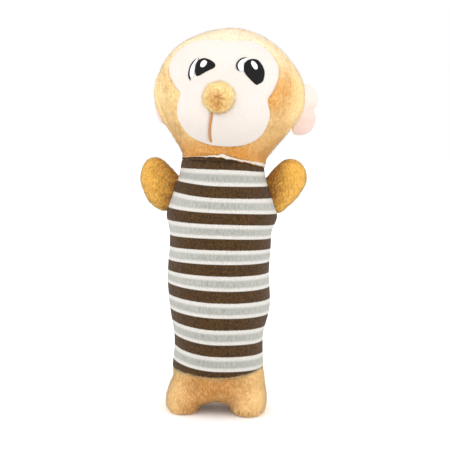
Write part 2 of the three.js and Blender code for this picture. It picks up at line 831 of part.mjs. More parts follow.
// The origin lies on the floor under the middle of the toy's box
const box = new THREE.Box3().setFromObject(toy, true);
const boxMiddle = box.getCenter(new THREE.Vector3());
toy.position.set(-boxMiddle.x, -boxMiddle.y, -box.min.z);

export default toy;
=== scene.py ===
"""Plush monkey squeak toy for a dog, dressed in its cloths, on a white studio floor.

Lengths are millimetres in shapes, which become metres as a mesh is made, and metres in the camera, the
studio and the materials. Left and right are the viewer's.
"""

import math

import bmesh
import bpy
import numpy as np
from mathutils import Matrix, Vector


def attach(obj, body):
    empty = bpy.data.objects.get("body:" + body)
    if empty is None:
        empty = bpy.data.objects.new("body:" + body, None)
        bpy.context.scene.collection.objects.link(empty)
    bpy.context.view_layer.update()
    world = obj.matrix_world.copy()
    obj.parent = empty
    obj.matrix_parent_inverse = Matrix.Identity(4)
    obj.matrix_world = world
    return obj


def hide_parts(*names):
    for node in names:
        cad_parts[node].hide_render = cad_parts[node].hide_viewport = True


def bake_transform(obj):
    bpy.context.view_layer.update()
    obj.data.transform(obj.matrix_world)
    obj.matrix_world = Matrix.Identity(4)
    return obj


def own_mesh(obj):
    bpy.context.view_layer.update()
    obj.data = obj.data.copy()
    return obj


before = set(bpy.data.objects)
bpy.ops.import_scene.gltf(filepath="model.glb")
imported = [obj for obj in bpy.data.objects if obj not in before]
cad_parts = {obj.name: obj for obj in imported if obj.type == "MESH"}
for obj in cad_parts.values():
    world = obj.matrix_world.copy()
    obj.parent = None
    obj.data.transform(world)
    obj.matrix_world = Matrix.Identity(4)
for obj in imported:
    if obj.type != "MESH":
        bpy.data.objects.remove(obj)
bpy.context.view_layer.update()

# Camera: half a metre in front of the toy's chest, looking down a little and held a touch askew. Its
# focal length is 900 of the photo's pixels, of which the photo is 450 wide.
LENS_PIXELS, PHOTO_PIXELS = 900.0, 450.0
CAMERA_AT, CAMERA_TIP, CAMERA_ROLL = (0.0003, -0.5311, 0.165), math.radians(84.5), math.radians(1.5)


def placed(name, data):
    """A new object in the scene, at the origin."""
    made = bpy.data.objects.new(name, data)
    bpy.context.scene.collection.objects.link(made)
    return made


camera = placed("camera", bpy.data.cameras.new("camera"))
bpy.context.scene.camera = camera
camera.data.sensor_width = 36.0
camera.data.lens = camera.data.sensor_width * LENS_PIXELS / PHOTO_PIXELS
camera.matrix_world = (
    Matrix.Translation(CAMERA_AT) @ Matrix.Rotation(CAMERA_TIP, 4, "X") @ Matrix.Rotation(CAMERA_ROLL, 4, "Z"))


# Studio: a white floor that runs out of sight under a white sky, and large soft lamps at both sides
# and in front. The floor keeps the toy's soft shadow.
bpy.context.scene.view_settings.view_transform = "Standard"


class Flow:
    """A socket of a material's node tree, worked on as a number is."""

    def __init__(self, socket):
        self.socket = socket

    def node(self, kind, settings=None, output=0, **inputs):
        """Adds a node: its settings first, then each input by name, or by place as _0, _1 and on."""
        tree = self.socket.id_data
        made = tree.nodes.new("ShaderNode" + kind)
        for name, value in (settings or {}).items():
            if name == "stops":
                ramp = made.color_ramp
                while len(ramp.elements) < len(value):
                    ramp.elements.new(0.5)
                for stop, (place, colour) in zip(ramp.elements, value):
                    stop.position, stop.color = place, colour
            else:
                setattr(made, name, value)
        for name, value in inputs.items():
            place = name[1:]
            slot = made.inputs[int(place) if place.isdigit() else name.replace("_", " ")]
            if isinstance(value, Flow):
                tree.links.new(value.socket, slot)
            else:
                slot.default_value = value
        return Flow(made.outputs[output])

    def math(self, operation, other=0.0, swap=False):
        first, second = (other, self) if swap else (self, other)
        return self.node("Math", {"operation": operation}, _0=first, _1=second)

    def __add__(self, other):
        return self.math("ADD", other)

    def __sub__(self, other):
        return self.math("SUBTRACT", other)

    def __rsub__(self, other):
        return self.math("SUBTRACT", other, swap=True)

    def __mul__(self, other):
        return self.math("MULTIPLY", other)

    def __mod__(self, other):
        return self.math("FLOORED_MODULO", other)

    __radd__ = __add__

    def between(self, low, high):
        """0 below low, 1 above high, and straight in between."""
        return self.node("MapRange", {"clamp": True}, Value=self, From_Min=low, From_Max=high)

    def blend(self, first, second):
        """The first colour where this mask is 0, the second where it is 1."""
        first, second = [colour(*pick) if isinstance(pick, tuple) else pick for pick in (first, second)]
        return self.node("Mix", {"data_type": "RGBA"}, output=2, _0=self, _6=first, _7=second)

    def axis(self, which):
        """This place's coordinate across, deep or up, as 0, 1 or 2."""
        return self.node("SeparateXYZ", output=which, Vector=self)

    def distance(self, spot):
        return self.node("VectorMath", {"operation": "DISTANCE"}, output=1, _0=self, _1=spot)

    def stretched(self, by):
        return self.node("VectorMath", {"operation": "MULTIPLY"}, _0=self, _1=by)

    def noise(self, scale, detail=2.0, roughness=0.5):
        """Smooth noise from 0 to 1 over this place, with so many grains to the metre."""
        return self.node("TexNoise", Vector=self, Scale=scale, Detail=detail, Roughness=roughness)


def colour(red, green, blue):
    """A colour picked as 0 to 255 screen values, in the linear values that shaders take."""
    parts = np.array([red, green, blue]) / 255
    return (*np.where(parts < 0.04045, parts / 12.92, ((parts + 0.055) / 1.055) ** 2.4), 1.0)


def fabric(name, roughness=0.9, **settings):
    """A new material: its object coordinates, its shader's settings given by name, and the shader."""
    material = bpy.data.materials.new(name)
    material.use_nodes = True
    shader = material.node_tree.nodes["Principled BSDF"]
    shader.inputs["Roughness"].default_value = roughness
    for key, value in settings.items():
        shader.inputs[key.replace("_", " ")].default_value = value
    place = Flow(shader.outputs[0]).node("TexCoord", output=3)
    return material, shader, place


def into(shader, slot, value):
    shader.id_data.links.new(value.socket, shader.inputs[slot])


def relief(shader, height, strength, distance):
    """Bumps of the given height map, whose full height is the distance in metres."""
    into(shader, "Normal", height.node("Bump", Height=height, Strength=strength, Distance=distance))


floor_paint, floor_shader, floor_place = fabric(
    "studio_floor", roughness=1.0, Specular_IOR_Level=0.0, Base_Color=colour(246, 246, 246), Emission_Strength=1.0)
seen = floor_place.node("LightPath", output=0)
glossed = floor_place.node("LightPath", output=3)
from_toy = floor_place.distance((-0.002, 0.012, 0))
glow = (seen + glossed) * (0.04 + from_toy.between(0.02, 0.07) * 0.4)
into(floor_shader, "Emission Color", glow)
floor_mesh = bpy.data.meshes.new("studio_floor")
floor_mesh.from_pydata([(-9, -9, 0), (9, -9, 0), (9, 9, 0), (-9, 9, 0)], [], [(0, 1, 2, 3)])
floor_mesh.materials.append(floor_paint)
studio_floor = placed("studio_floor", floor_mesh)

sky = bpy.data.worlds.new("studio_sky")
bpy.context.scene.world = sky
sky.use_nodes = True
sky_light = sky.node_tree.nodes["Background"]
rays = sky.node_tree.nodes.new("ShaderNodeLightPath").outputs
sky_seen = Flow(rays["Is Camera Ray"]) + Flow(rays["Is Glossy Ray"]) + Flow(rays["Is Transmission Ray"])
sky_glow = 0.97 + sky_seen.between(0.0, 1.0) * 0.03
sky.node_tree.links.new(sky_glow.socket, sky_light.inputs[0])

# Each lamp: place and target in metres, width in metres, watts
LAMPS = {
    "lamp_left": ((-0.52, -0.38, 0.46), (0, 0, 0.16), 0.45, 1.1),
    "lamp_right": ((0.52, -0.34, 0.43), (0, 0, 0.16), 0.45, 1.1),
    "lamp_front": ((-0.15, -0.9, 0.7), (0, 0, 0.12), 0.5, 1.0),
}
for lamp_name, (lamp_at, lamp_aim, lamp_width, lamp_power) in LAMPS.items():
    lamp = placed(lamp_name, bpy.data.lights.new(lamp_name, "AREA"))
    lamp.data.size = lamp_width
    lamp.data.energy = lamp_power
    lamp.location = lamp_at
    lamp.rotation_mode = "QUATERNION"
    lamp.rotation_quaternion = Vector(np.subtract(lamp_at, lamp_aim)).to_track_quat("Z", "Y")


# Body: one tube of striped cotton jersey, sewn down its back, gathered into the neck seam and sewn to
# the legs at its hem. Stuffing fills it out round the squeaker.
TOY_AXIS = np.array([-2.208, 8.853, 0.0])
HEM, NECK = 24.3, 153.5
LATTICE = np.random.default_rng(7).uniform(-1, 1, (32, 32, 32))


def mottle(points, size, seed):
    """Smooth noise from -1 to 1: random values on a lattice of the given spacing, eased in between. The
    seed is a shift, which gives another part of the lattice."""
    place = np.asarray(points) / size + seed
    cell = np.floor(place).astype(int)
    part = place - cell
    part = part * part * (3 - 2 * part)
    total = 0.0
    for corner in np.ndindex(2, 2, 2):
        weight = np.prod(np.where(corner, part, 1 - part), axis=-1)
        at = (cell + corner) % len(LATTICE)
        total = total + weight * LATTICE[at[..., 0], at[..., 1], at[..., 2]]
    return total


def eased(table, where):
    """Each column of a table of (place, value, ...) rows, drawn through its rows as a smooth curve."""
    table = np.array(table, float)
    slopes = np.gradient(table[:, 1:], table[:, 0], axis=0)
    where = np.clip(where, table[0, 0], table[-1, 0])
    row = np.clip(np.searchsorted(table[:, 0], where) - 1, 0, len(table) - 2)
    span = (table[row + 1, 0] - table[row, 0])[..., None]
    part = (where - table[row, 0])[..., None] / span
    a, b = table[row, 1:], table[row + 1, 1:]
    curve = a + (b - a) * part ** 2 * (3 - 2 * part)
    bulge = part * (1 - part) * span * ((1 - part) * slopes[row] - part * slopes[row + 1])
    return np.moveaxis(curve + bulge, -1, 0)


def joined(*parts):
    """Numbers that belong together, such as a point's three, as the last axis of one array."""
    return np.stack(np.broadcast_arrays(*parts), -1)


def around(count):
    """That many turns round a circle."""
    return np.linspace(0, 2 * np.pi, count, endpoint=False)


def mesh_of(name, points, faces, material, uv=None):
    """A smooth mesh object from points in millimetres and faces, with an optional corner map."""
    mesh = bpy.data.meshes.new(name)
    mesh.from_pydata((points * 0.001).tolist(), [], faces)
    mesh.materials.append(material)
    mesh.shade_smooth()
    if uv is not None:
        mesh.uv_layers.new(name="cloth").data.foreach_set("uv", uv.reshape(-1))
    return placed(name, mesh)


def grid_faces(rows, cols, flip=False, ends=(False, False)):
    """Quads between closed rows of points, and a face over the first and last row where ends says so."""
    i, j = np.meshgrid(np.arange(rows - 1), np.arange(cols), indexing="ij")
    after = (j + 1) % cols
    quads = joined(i * cols + j, i * cols + after, (i + 1) * cols + after, (i + 1) * cols + j)
    faces = quads.reshape(-1, 4).tolist()
    ring = np.arange(cols)
    faces += [ring[::-1].tolist()] if ends[0] else []
    faces += [(ring + (rows - 1) * cols).tolist()] if ends[1] else []
    return [face[::-1] for face in faces] if flip else faces


def walled(panel, thick):
    """Gives a panel a wall of that thickness inside its surface."""
    wall = panel.modifiers.new("wall", "SOLIDIFY")
    wall.thickness, wall.offset = thick * 0.001, -1.0


def cloth_of(name, grid, material, flip=False, uv=None, thick=0.8, ends=(False, False)):
    """A panel of cloth from closed rows of points, with a wall of the given thickness unless that is 0."""
    if uv is not None:
        uv_ends = [uv[-1, :-1]] if ends[1] else []
        uv = np.stack([uv[:-1, :-1], uv[:-1, 1:], uv[1:, 1:], uv[1:, :-1]], -2).reshape(-1, 2)
        uv = np.concatenate([uv, *uv_ends])
    made = mesh_of(name, grid.reshape(-1, 3), grid_faces(*grid.shape[:2], flip, ends), material, uv)
    if thick:
        walled(made, thick)
    return made


# Half-widths to the viewer's left and right of the axis, and half-depth, at each height
BODY_TABLE = [
    (20.0, 27.4, 28.2, 20.2), (24.0, 27.4, 28.4, 20.9), (31.0, 26.5, 27.7, 22.2), (40.0, 26.0, 27.4, 23.6),
    (49.0, 26.9, 28.0, 24.8), (58.0, 28.7, 29.9, 25.6), (67.0, 30.2, 31.0, 26.0), (76.0, 31.0, 30.8, 26.1),
    (88.0, 31.4, 30.0, 26.1), (98.0, 30.5, 30.1, 26.1), (110.0, 30.9, 31.1, 25.9), (119.0, 33.0, 34.0, 25.7),
    (126.0, 31.2, 32.0, 25.3), (135.0, 27.9, 28.4, 24.7), (144.0, 25.1, 25.4, 24.2), (150.0, 24.4, 24.6, 23.6),
    (153.5, 23.8, 24.1, 22.6)]
# Heights of the stripes' repeats, from the top edge of one brown stripe to that of the next
STRIPE_TOPS = [169.3, 154.2, 137.2, 121.8, 107.0, 92.1, 76.4, 60.5, 44.3, 27.8, 12.0]
# How far the stripes ride up at the viewer's left and right side, at each height
STRIPE_RIDE = [
    (24, 3.6, -0.5), (45, 2.9, -0.5), (61, 1.8, -0.2), (77, 1.5, 0.5), (92, -0.4, 0.0), (107, -0.5, -1.0),
    (122, 1.2, -1.0), (137, 2.2, -0.2), (147, -0.1, -1.4), (155, -0.5, -2.4)]
# Ribs round the body, and rows of stitches in each repeat of the stripes
WALES, COURSES = 180, 26.0


def outwards(turn):
    """The level way out from the axis, turn 0 at the front and growing to the viewer's right."""
    return joined(np.sin(turn), -np.cos(turn), 0)


def fading(far, width):
    """1 up to no distance, and falling to about a third with each width beyond."""
    return np.exp(-np.maximum(far, 0) / width)


def hem_at(turn):
    """Height of the hem: lowest in front and behind, higher at the sides, most at the viewer's right."""
    across = np.sin(turn)
    return HEM - 1.1 + (3.3 + across) * across ** 2


def body_at(turn, height):
    """A point of the tube: an oval at each height, turn 0 at the front and growing to the viewer's right."""
    left, right, deep = eased(BODY_TABLE, height)
    across = np.sin(turn)
    wide = np.where(across < 0, left, right)
    return joined(wide * across, -deep * np.cos(turn), height)


body_turn, body_share = np.meshgrid(around(300) + np.pi, np.linspace(0, 1, 156))
body_start = hem_at(body_turn) - 1.5
body_height = body_start + (NECK + 1.0 - body_start) * body_share
jersey = body_at(body_turn, body_height)
swell = 0.4 * mottle(jersey, 17.0, 3.3) + 0.22 * mottle(jersey, 8.0, 9.1)
to_neck, to_hem = NECK - body_height, body_height - hem_at(body_turn)
gathers = np.sin(body_turn * 34 + 3 * mottle(jersey, 12.0, 5.0)) + 0.8 * mottle(jersey, 2.4, 6.0)
gathers = gathers * (0.3 * fading(np.abs(to_neck), 3.5) + 0.14 * fading(np.abs(to_hem), 2.5))
tuck = -1.3 * fading(to_hem, 1.1) - 1.9 * fading(to_neck, 1.5)
jersey = jersey + outwards(body_turn) * (swell + gathers + tuck)[..., None]

ride_left, ride_right = eased(STRIPE_RIDE, body_height)
ride = np.where(np.sin(body_turn) < 0, ride_left, ride_right) * np.sin(body_turn) ** 2
stripe_count = np.interp(ride - body_height, -np.array(STRIPE_TOPS), np.arange(len(STRIPE_TOPS)))
jersey_uv = joined(body_turn / (2 * np.pi) * WALES, stripe_count)
jersey_uv = np.concatenate([jersey_uv, jersey_uv[:, :1] + (WALES, 0)], 1)


def off_axis(place, shift=0.0022):
    """How far across a place is from the toy's upright axis, which is moved that far to the left."""
    return (place.axis(0) + shift).math("ABSOLUTE")


jersey_cloth, jersey_shader, jersey_place = fabric(
    "striped_jersey", roughness=0.9, Sheen_Weight=0.1, Sheen_Roughness=0.5, Specular_IOR_Level=0.25)
cloth_map = jersey_place.node("UVMap", {"uv_map": "cloth"})
wale, course = cloth_map.axis(0), cloth_map.axis(1)
loop_side = ((wale % 1.0) - 0.5).math("ABSOLUTE") * 2.0
fuzz = jersey_place.noise(900.0, 3.0, 0.7)
yarn_edge = course + loop_side * 0.014 + (fuzz - 0.5) * 0.03
stripe = yarn_edge % 1.0
is_brown = 1.0 - stripe.between(0.42, 0.445) + stripe.between(0.975, 1.0)
is_grey = stripe.between(0.54, 0.63) - stripe.between(0.82, 0.9)
streaks = cloth_map.stretched((0.9, 5.0, 1.0)).noise(1.0, 3.0, 0.65)
grey_yarn = streaks.between(0.3, 0.7).blend((192, 192, 184), (150, 151, 143))
brown_yarn = fuzz.between(0.35, 0.72).blend((47, 28, 8), (99, 70, 35))
white_yarn = fuzz.between(0.25, 0.6).blend((208, 203, 195), (228, 225, 219))
# Painted light: the white and grey yarns are painted paler towards the body's flanks, where light wraps round it.
flank_painted_light = off_axis(jersey_place).between(0.006, 0.028)
light_yarn = (flank_painted_light * 0.16).blend(is_grey.blend(white_yarn, grey_yarn), (240, 240, 236))
into(jersey_shader, "Base Color", is_brown.blend(light_yarn, brown_yarn))
rib = (wale * (2 * math.pi)).math("COSINE")
stitch = ((course * COURSES + loop_side * 0.9) * (2 * math.pi)).math("SINE")
relief(jersey_shader, rib * 0.7 + stitch * 0.3 + fuzz * 0.8, 0.5, 0.0003)

body_jersey = cloth_of("body_jersey", jersey + TOY_AXIS, jersey_cloth, uv=jersey_uv)
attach(body_jersey, "body")
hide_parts("body_cover", "body_filling_lower", "body_filling_upper")

# Neck: the jersey runs on under the head as a dome of stuffed cloth, on which the head turns and nods.
# Its cut edge stands out of the seam as a crumpled white frill, fullest in the middle and to its right.
NECK_CENTRE = np.array([0.0, 0.0, NECK - 20.0])
NECK_WIDE, NECK_DEEP, DOME_RADIUS = 24.9, 23.5, 31.0
dome_turn, dome_rise = np.meshgrid(around(96), np.linspace(0.66, 1.54, 24))
flat = 0.93 + 0.07 * np.sin(dome_rise)
dome = DOME_RADIUS * joined(
    np.cos(dome_rise) * np.cos(dome_turn), flat * np.cos(dome_rise) * np.sin(dome_turn), np.sin(dome_rise))
dome_uv = joined(dome_turn * 30, 0.2)
dome_uv = np.concatenate([dome_uv, dome_uv[:, :1]], 1)
neck_dome = cloth_of("neck_dome", dome + NECK_CENTRE + TOY_AXIS, jersey_cloth, uv=dome_uv, ends=(False, True))
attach(neck_dome, "neck")
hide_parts("neck_filling")

# The frill's fullness at turns round the neck, from 0 at the front, growing to the viewer's right
FRILL = [
    (-3.15, 0.2), (-1.2, 0.15), (-0.75, 0.15), (-0.5, 0.3), (-0.3, 0.7), (-0.1, 1.1), (0.04, 2.0), (0.16, 1.4),
    (0.3, 0.9), (0.5, 0.9), (0.75, 1.3), (0.95, 1.7), (1.2, 1.5), (1.6, 0.7), (2.1, 0.3), (3.15, 0.2)]
FRILL_DEEP, FRILL_LONG, FRILL_ROUND = 23.7, 720, 14
frill_turn, frill_round = np.meshgrid(
    np.linspace(-np.pi, np.pi, FRILL_LONG, endpoint=False), around(FRILL_ROUND), indexing="ij")
frill_full = eased(FRILL, frill_turn)[0]
frill_across = NECK_WIDE * np.sin(frill_turn)
frill_spot = joined(frill_across, -FRILL_DEEP * np.cos(frill_turn), NECK + 0.45)
frill_lift = np.clip(frill_full - 0.6, 0, 9)
frill_out = np.cos(frill_round) * 0.4 * frill_full + 0.3 * frill_full * mottle(frill_spot, 1.5, 2.2)
frill_out = frill_out - 0.6 + 0.9 * frill_full + 0.1 * frill_lift
frill_up = np.sin(frill_round) * 0.6 * frill_full + 0.6 * frill_full * mottle(frill_spot, 1.7, 7.7)
frill_up = frill_up + 0.6 * frill_lift - 0.085 * frill_across - 2.9 * (frill_across / NECK_WIDE) ** 2
frill = frill_spot + outwards(frill_turn) * frill_out[..., None] + joined(0, 0, frill_up)


def speckled(name, dark, light, scale, strength, distance, coarse=0.5, high=0.7, **settings):
    """A material whose grains run from a dark to a light colour, and stand in relief as they do."""
    made, shader, place = fabric(name, **settings)
    grains = place.noise(scale, 3.0, coarse)
    into(shader, "Base Color", grains.between(0.3, high).blend(dark, light))
    relief(shader, grains, strength, distance)
    return made


white_edge = speckled("white_cut_edge", (184, 166, 144), (246, 240, 230), 1500.0, 0.6, 0.0003, coarse=0.7, high=0.65,
                      Specular_IOR_Level=0.25)
frill_faces = np.array(grid_faces(FRILL_LONG + 1, FRILL_ROUND, flip=True)) % (FRILL_LONG * FRILL_ROUND)
neck_frill = mesh_of("neck_frill", (frill + TOY_AXIS).reshape(-1, 3), frill_faces.tolist(), white_edge)
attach(neck_frill, "body")

# Head: a front and a back panel of short tan plush, with a white velour face let into the front. The
# head is round over the crown, narrow at the neck, and its muzzle swells out of the face.
HEAD_HIGH, HEAD_WIDE, HEAD_FRONT, HEAD_BACK = 76.3, 44.8, 36.0, 37.0
WIDEST_RISE, BEYOND_HEAD, HALVINGS = 0.475, 75.0, 26
MUZZLE_WIDE, MUZZLE_HIGH, MUZZLE_OUT, MUZZLE_UP = 30.0, 20.5, 12.0, 25.0
HEAD_TURN, HEAD_LEAN, HEAD_HANG, HEAD_HANG_SIDES = math.radians(-5.5), math.radians(3.0), 1.4, 3.0
HEAD_MIDDLE = np.array([0.0, 0.0, 190.0])
HEAD_PLACE = np.array(Matrix.Rotation(HEAD_LEAN, 3, "Y") @ Matrix.Rotation(HEAD_TURN, 3, "Z"))


def head_outline(rise, neck):
    """Share of the head's full width at a height: a quarter wave, its power raised, up to the widest
    place, then a cap."""
    low = neck + (1 - neck) * np.sin(np.pi / 2 * np.clip(rise, 0, WIDEST_RISE) / WIDEST_RISE) ** 1.35
    cap = np.clip((rise - WIDEST_RISE) / (1 - WIDEST_RISE), 0, 1)
    return np.where(rise < WIDEST_RISE, low, (1 - cap ** 2) ** 0.56)


def muzzle_at(x, z):
    """How far the muzzle stands out of the face: a flattened dome that starts softly at its edge."""
    far = np.clip(np.hypot(x / MUZZLE_WIDE, (z - NECK - MUZZLE_UP) / MUZZLE_HIGH), 0, 1)
    inside = 1 - far ** 2
    return MUZZLE_OUT * inside ** 0.75 * 1.15 * inside / (inside + 0.15)


def half_size(z, widest, neck):
    """The head's half-width or half-depth at a height: its widest one times the outline's share."""
    return widest * head_outline((z - NECK) / HEAD_HIGH, neck / widest)


def face_depth(x, z):
    """How far the face is in front of the axis: an oval section at each height, with the muzzle on it."""
    wide = half_size(z, HEAD_WIDE, NECK_WIDE)
    deep = half_size(z, HEAD_FRONT, NECK_DEEP)
    return deep * np.sqrt(np.clip(1 - (x / np.maximum(wide, 1e-6)) ** 2, 0, 1)) + muzzle_at(x, z)


def within_head(p):
    """Above 0 outside the head and below 0 inside it."""
    x, y, z = np.moveaxis(p, -1, 0)
    wide = np.maximum(half_size(z, HEAD_WIDE, NECK_WIDE), 1e-6)
    back = np.maximum(half_size(z, HEAD_BACK, NECK_DEEP), 1e-6)
    behind = (x / wide) ** 2 + (y / back) ** 2 - 1
    before = np.where(np.abs(x) < wide, -y - face_depth(x, z), 1.0)
    return np.where((z - NECK) / HEAD_HIGH > 1, 1.0, np.where(y > 0, behind, before))


def way_at(lean, turn):
    """A way out from a middle: lean is the angle off straight ahead, and turn runs round about."""
    return joined(np.sin(lean) * np.cos(turn), -np.cos(lean), np.sin(lean) * np.sin(turn))


def head_point(lean, turn):
    """Where that way out from the head's middle meets its surface, found by halving, and the way."""
    way = way_at(lean, turn)
    near, far = np.zeros(lean.shape), np.full(lean.shape, BEYOND_HEAD)
    for _ in range(HALVINGS):
        half = (near + far) / 2
        inside = within_head(HEAD_MIDDLE + half[..., None] * way) < 0
        near, far = np.where(inside, half, near), np.where(inside, far, half)
    return HEAD_MIDDLE + near[..., None] * way, way


def set_head(points):
    """From the head's own upright place to the way it was stuffed, turned and leaning on the neck."""
    return (points - NECK_CENTRE) @ HEAD_PLACE.T + NECK_CENTRE + TOY_AXIS


# Where the face panel's edge runs, across and up, from the middle of the brow clockwise
FACE_EDGE = np.array([
    (1.5, 221.0), (12.6, 222.2), (24.0, 216.0), (29.8, 206.5), (28.6, 195.5), (25.4, 187.2), (27.0, 178.5),
    (22.0, 167.0), (14.0, 161.6), (4.6, 159.8), (-9.0, 160.6), (-20.6, 165.4), (-26.4, 174.5), (-26.8, 181.5),
    (-25.6, 187.6), (-31.0, 194.4), (-35.0, 203.4), (-29.2, 215.2), (-14.6, 221.0),
])


def round_table(turns, values):
    """A smooth curve through values at turns, closed round the circle, as a function of the turn."""
    order = np.argsort(turns % (2 * np.pi))
    turns, values = (turns % (2 * np.pi))[order], values[order]
    turns = np.concatenate([turns[-3:] - 2 * np.pi, turns, turns[:3] + 2 * np.pi])
    values = np.concatenate([values[-3:], values, values[:3]])
    return lambda turn: eased(joined(turns, values), turn % (2 * np.pi))[0]


edge_spot = joined(FACE_EDGE[:, 0], -face_depth(*FACE_EDGE.T), FACE_EDGE[:, 1]) - HEAD_MIDDLE
edge_turn = np.arctan2(edge_spot[:, 2], edge_spot[:, 0])
edge_lean = np.arctan2(np.hypot(edge_spot[:, 0], edge_spot[:, 2]), -edge_spot[:, 1])
face_lean = round_table(edge_turn, edge_lean)

COLUMNS, SEAM_DEPTH, NECK_SEAM_DEPTH, SEAM_WIDTH = 288, 1.5, 1.0, 1.8
round_head = around(COLUMNS)


def bell(far, width):
    """1 at no distance, falling smoothly to about a third at the given width."""
    return np.exp(-(far / width) ** 2)


def seam_lean(turn, behind):
    """A panel's outer edge: the side seam, or the line round the neck, which hangs lower at the sides.

    On the viewer's left the stuffing has pushed the seam a little forwards.
    """
    tries = np.linspace(np.pi / 2, np.pi if behind else 0.0, 160)
    spots = head_point(tries[:, None] + 0 * turn, turn + 0 * tries[:, None])[0]
    above = spots[..., 2] > NECK - HEAD_HANG - HEAD_HANG_SIDES * (spots[..., 0] / NECK_WIDE) ** 2
    first = np.argmax(above, axis=0)
    forwards = 0.34 * bell(turn - np.pi - 0.3, 0.6)
    return np.where(above[0], np.pi / 2 - forwards, tries[first])


def lines_between(start, end, rows):
    share = np.linspace(0, 1, rows)[:, None]
    return start + (end - start) * share, share + 0 * start


def head_panel(start, end, rows):
    """A panel between two closed lines round the head, dipping into the seams, and least round the neck."""
    lean, share = lines_between(start, end, rows)
    points, way = head_point(lean, round_head + 0 * lean)
    length = np.linalg.norm(np.diff(points, axis=0), axis=-1).sum(0)
    to_seam = np.minimum(share, 1 - share) * length
    soft = 0.5 * mottle(points, 14.0, 1.7) + 0.22 * mottle(points, 6.0, 4.2)
    pucker = 0.35 * mottle(points, 2.6, 8.8) * fading(to_seam, 3.0)
    off_neck = np.clip((np.sin(round_head) + 0.88) / 0.15, 0, 1)
    depth = np.where(share > 0.5, NECK_SEAM_DEPTH + (SEAM_DEPTH - NECK_SEAM_DEPTH) * off_neck, SEAM_DEPTH)
    return points + way * (soft + pucker - depth * bell(to_seam, SEAM_WIDTH))[..., None]


def plush_of(name, deep, pale, tip, painted_shading, grain=1.0, wear_and_light=None):
    """Short dense plush: fibre in clumps from the deep to the pale colour, and paler at the pile's tips.

    Painted light and shade come from a function of place, from 0 to 1, which says how pale the pile is painted
    there; the grain says how strongly it varies. A last, optional function paints light: where it is near 1, the
    pale colour is nearly white.
    """
    made, shader, place = fabric(
        name, roughness=0.95, Sheen_Weight=0.4, Sheen_Roughness=0.6, Sheen_Tint=colour(255, 226, 178),
        Specular_IOR_Level=0.2)
    clumps = place.stretched((1.0, 1.0, 0.55)).noise(1000.0, 2.0, 0.6)
    broad = place.noise(70.0)
    fibre, reach = [place.node("Attribute", {"attribute_name": key}, output=2) for key in ("fibre", "reach")]
    shade = ((clumps - 0.5) * 1.9 + (broad - 0.5) * 0.9 + fibre * 2.0) * grain + painted_shading(place)
    # Painted light: the pale colour whitened where the pile is lit most.
    if wear_and_light:
        pale = wear_and_light(place).blend(pale, (255, 247, 224))
    into(shader, "Base Color", (reach * 0.35).blend(shade.between(0.0, 1.0).blend(deep, pale), tip))
    relief(shader, clumps, 0.5, 0.0005)
    return made


def head_painted_light_and_shade(place):
    """Painted shade, deeper low on the jaw and in a patch right of the muzzle; painted light, paler at the sides."""
    above_jaw = place.axis(2).between(0.155, 0.18)
    # Painted shade in a patch right of the muzzle.
    muzzle_side_painted_shade = (place.distance((0.031, -0.02, 0.19)).between(0.006, 0.018) - 1.0) * 0.5
    return 0.12 + above_jaw * 0.7 + muzzle_side_painted_shade + off_axis(place).between(0.034, 0.044) * 0.15


def head_painted_light(place):
    """Painted light, most at the crown, which is lit from above."""
    return place.axis(2).between(0.198, 0.229)


plush = plush_of("tan_plush", (222, 147, 52), (254, 225, 164), (255, 238, 198), head_painted_light_and_shade,
                 grain=0.75, wear_and_light=head_painted_light)


def rows_of(items, key, kind=float):
    """That property of each vertex or triangle, as a row of three for each."""
    values = np.empty(len(items) * 3, kind)
    items.foreach_get(key, values)
    return values.reshape(-1, 3)


def spots_of(mesh):
    """A mesh's points in millimetres."""
    return rows_of(mesh.vertices, "co") * 1000


def unit(vectors):
    return vectors / np.linalg.norm(vectors, axis=-1, keepdims=True)


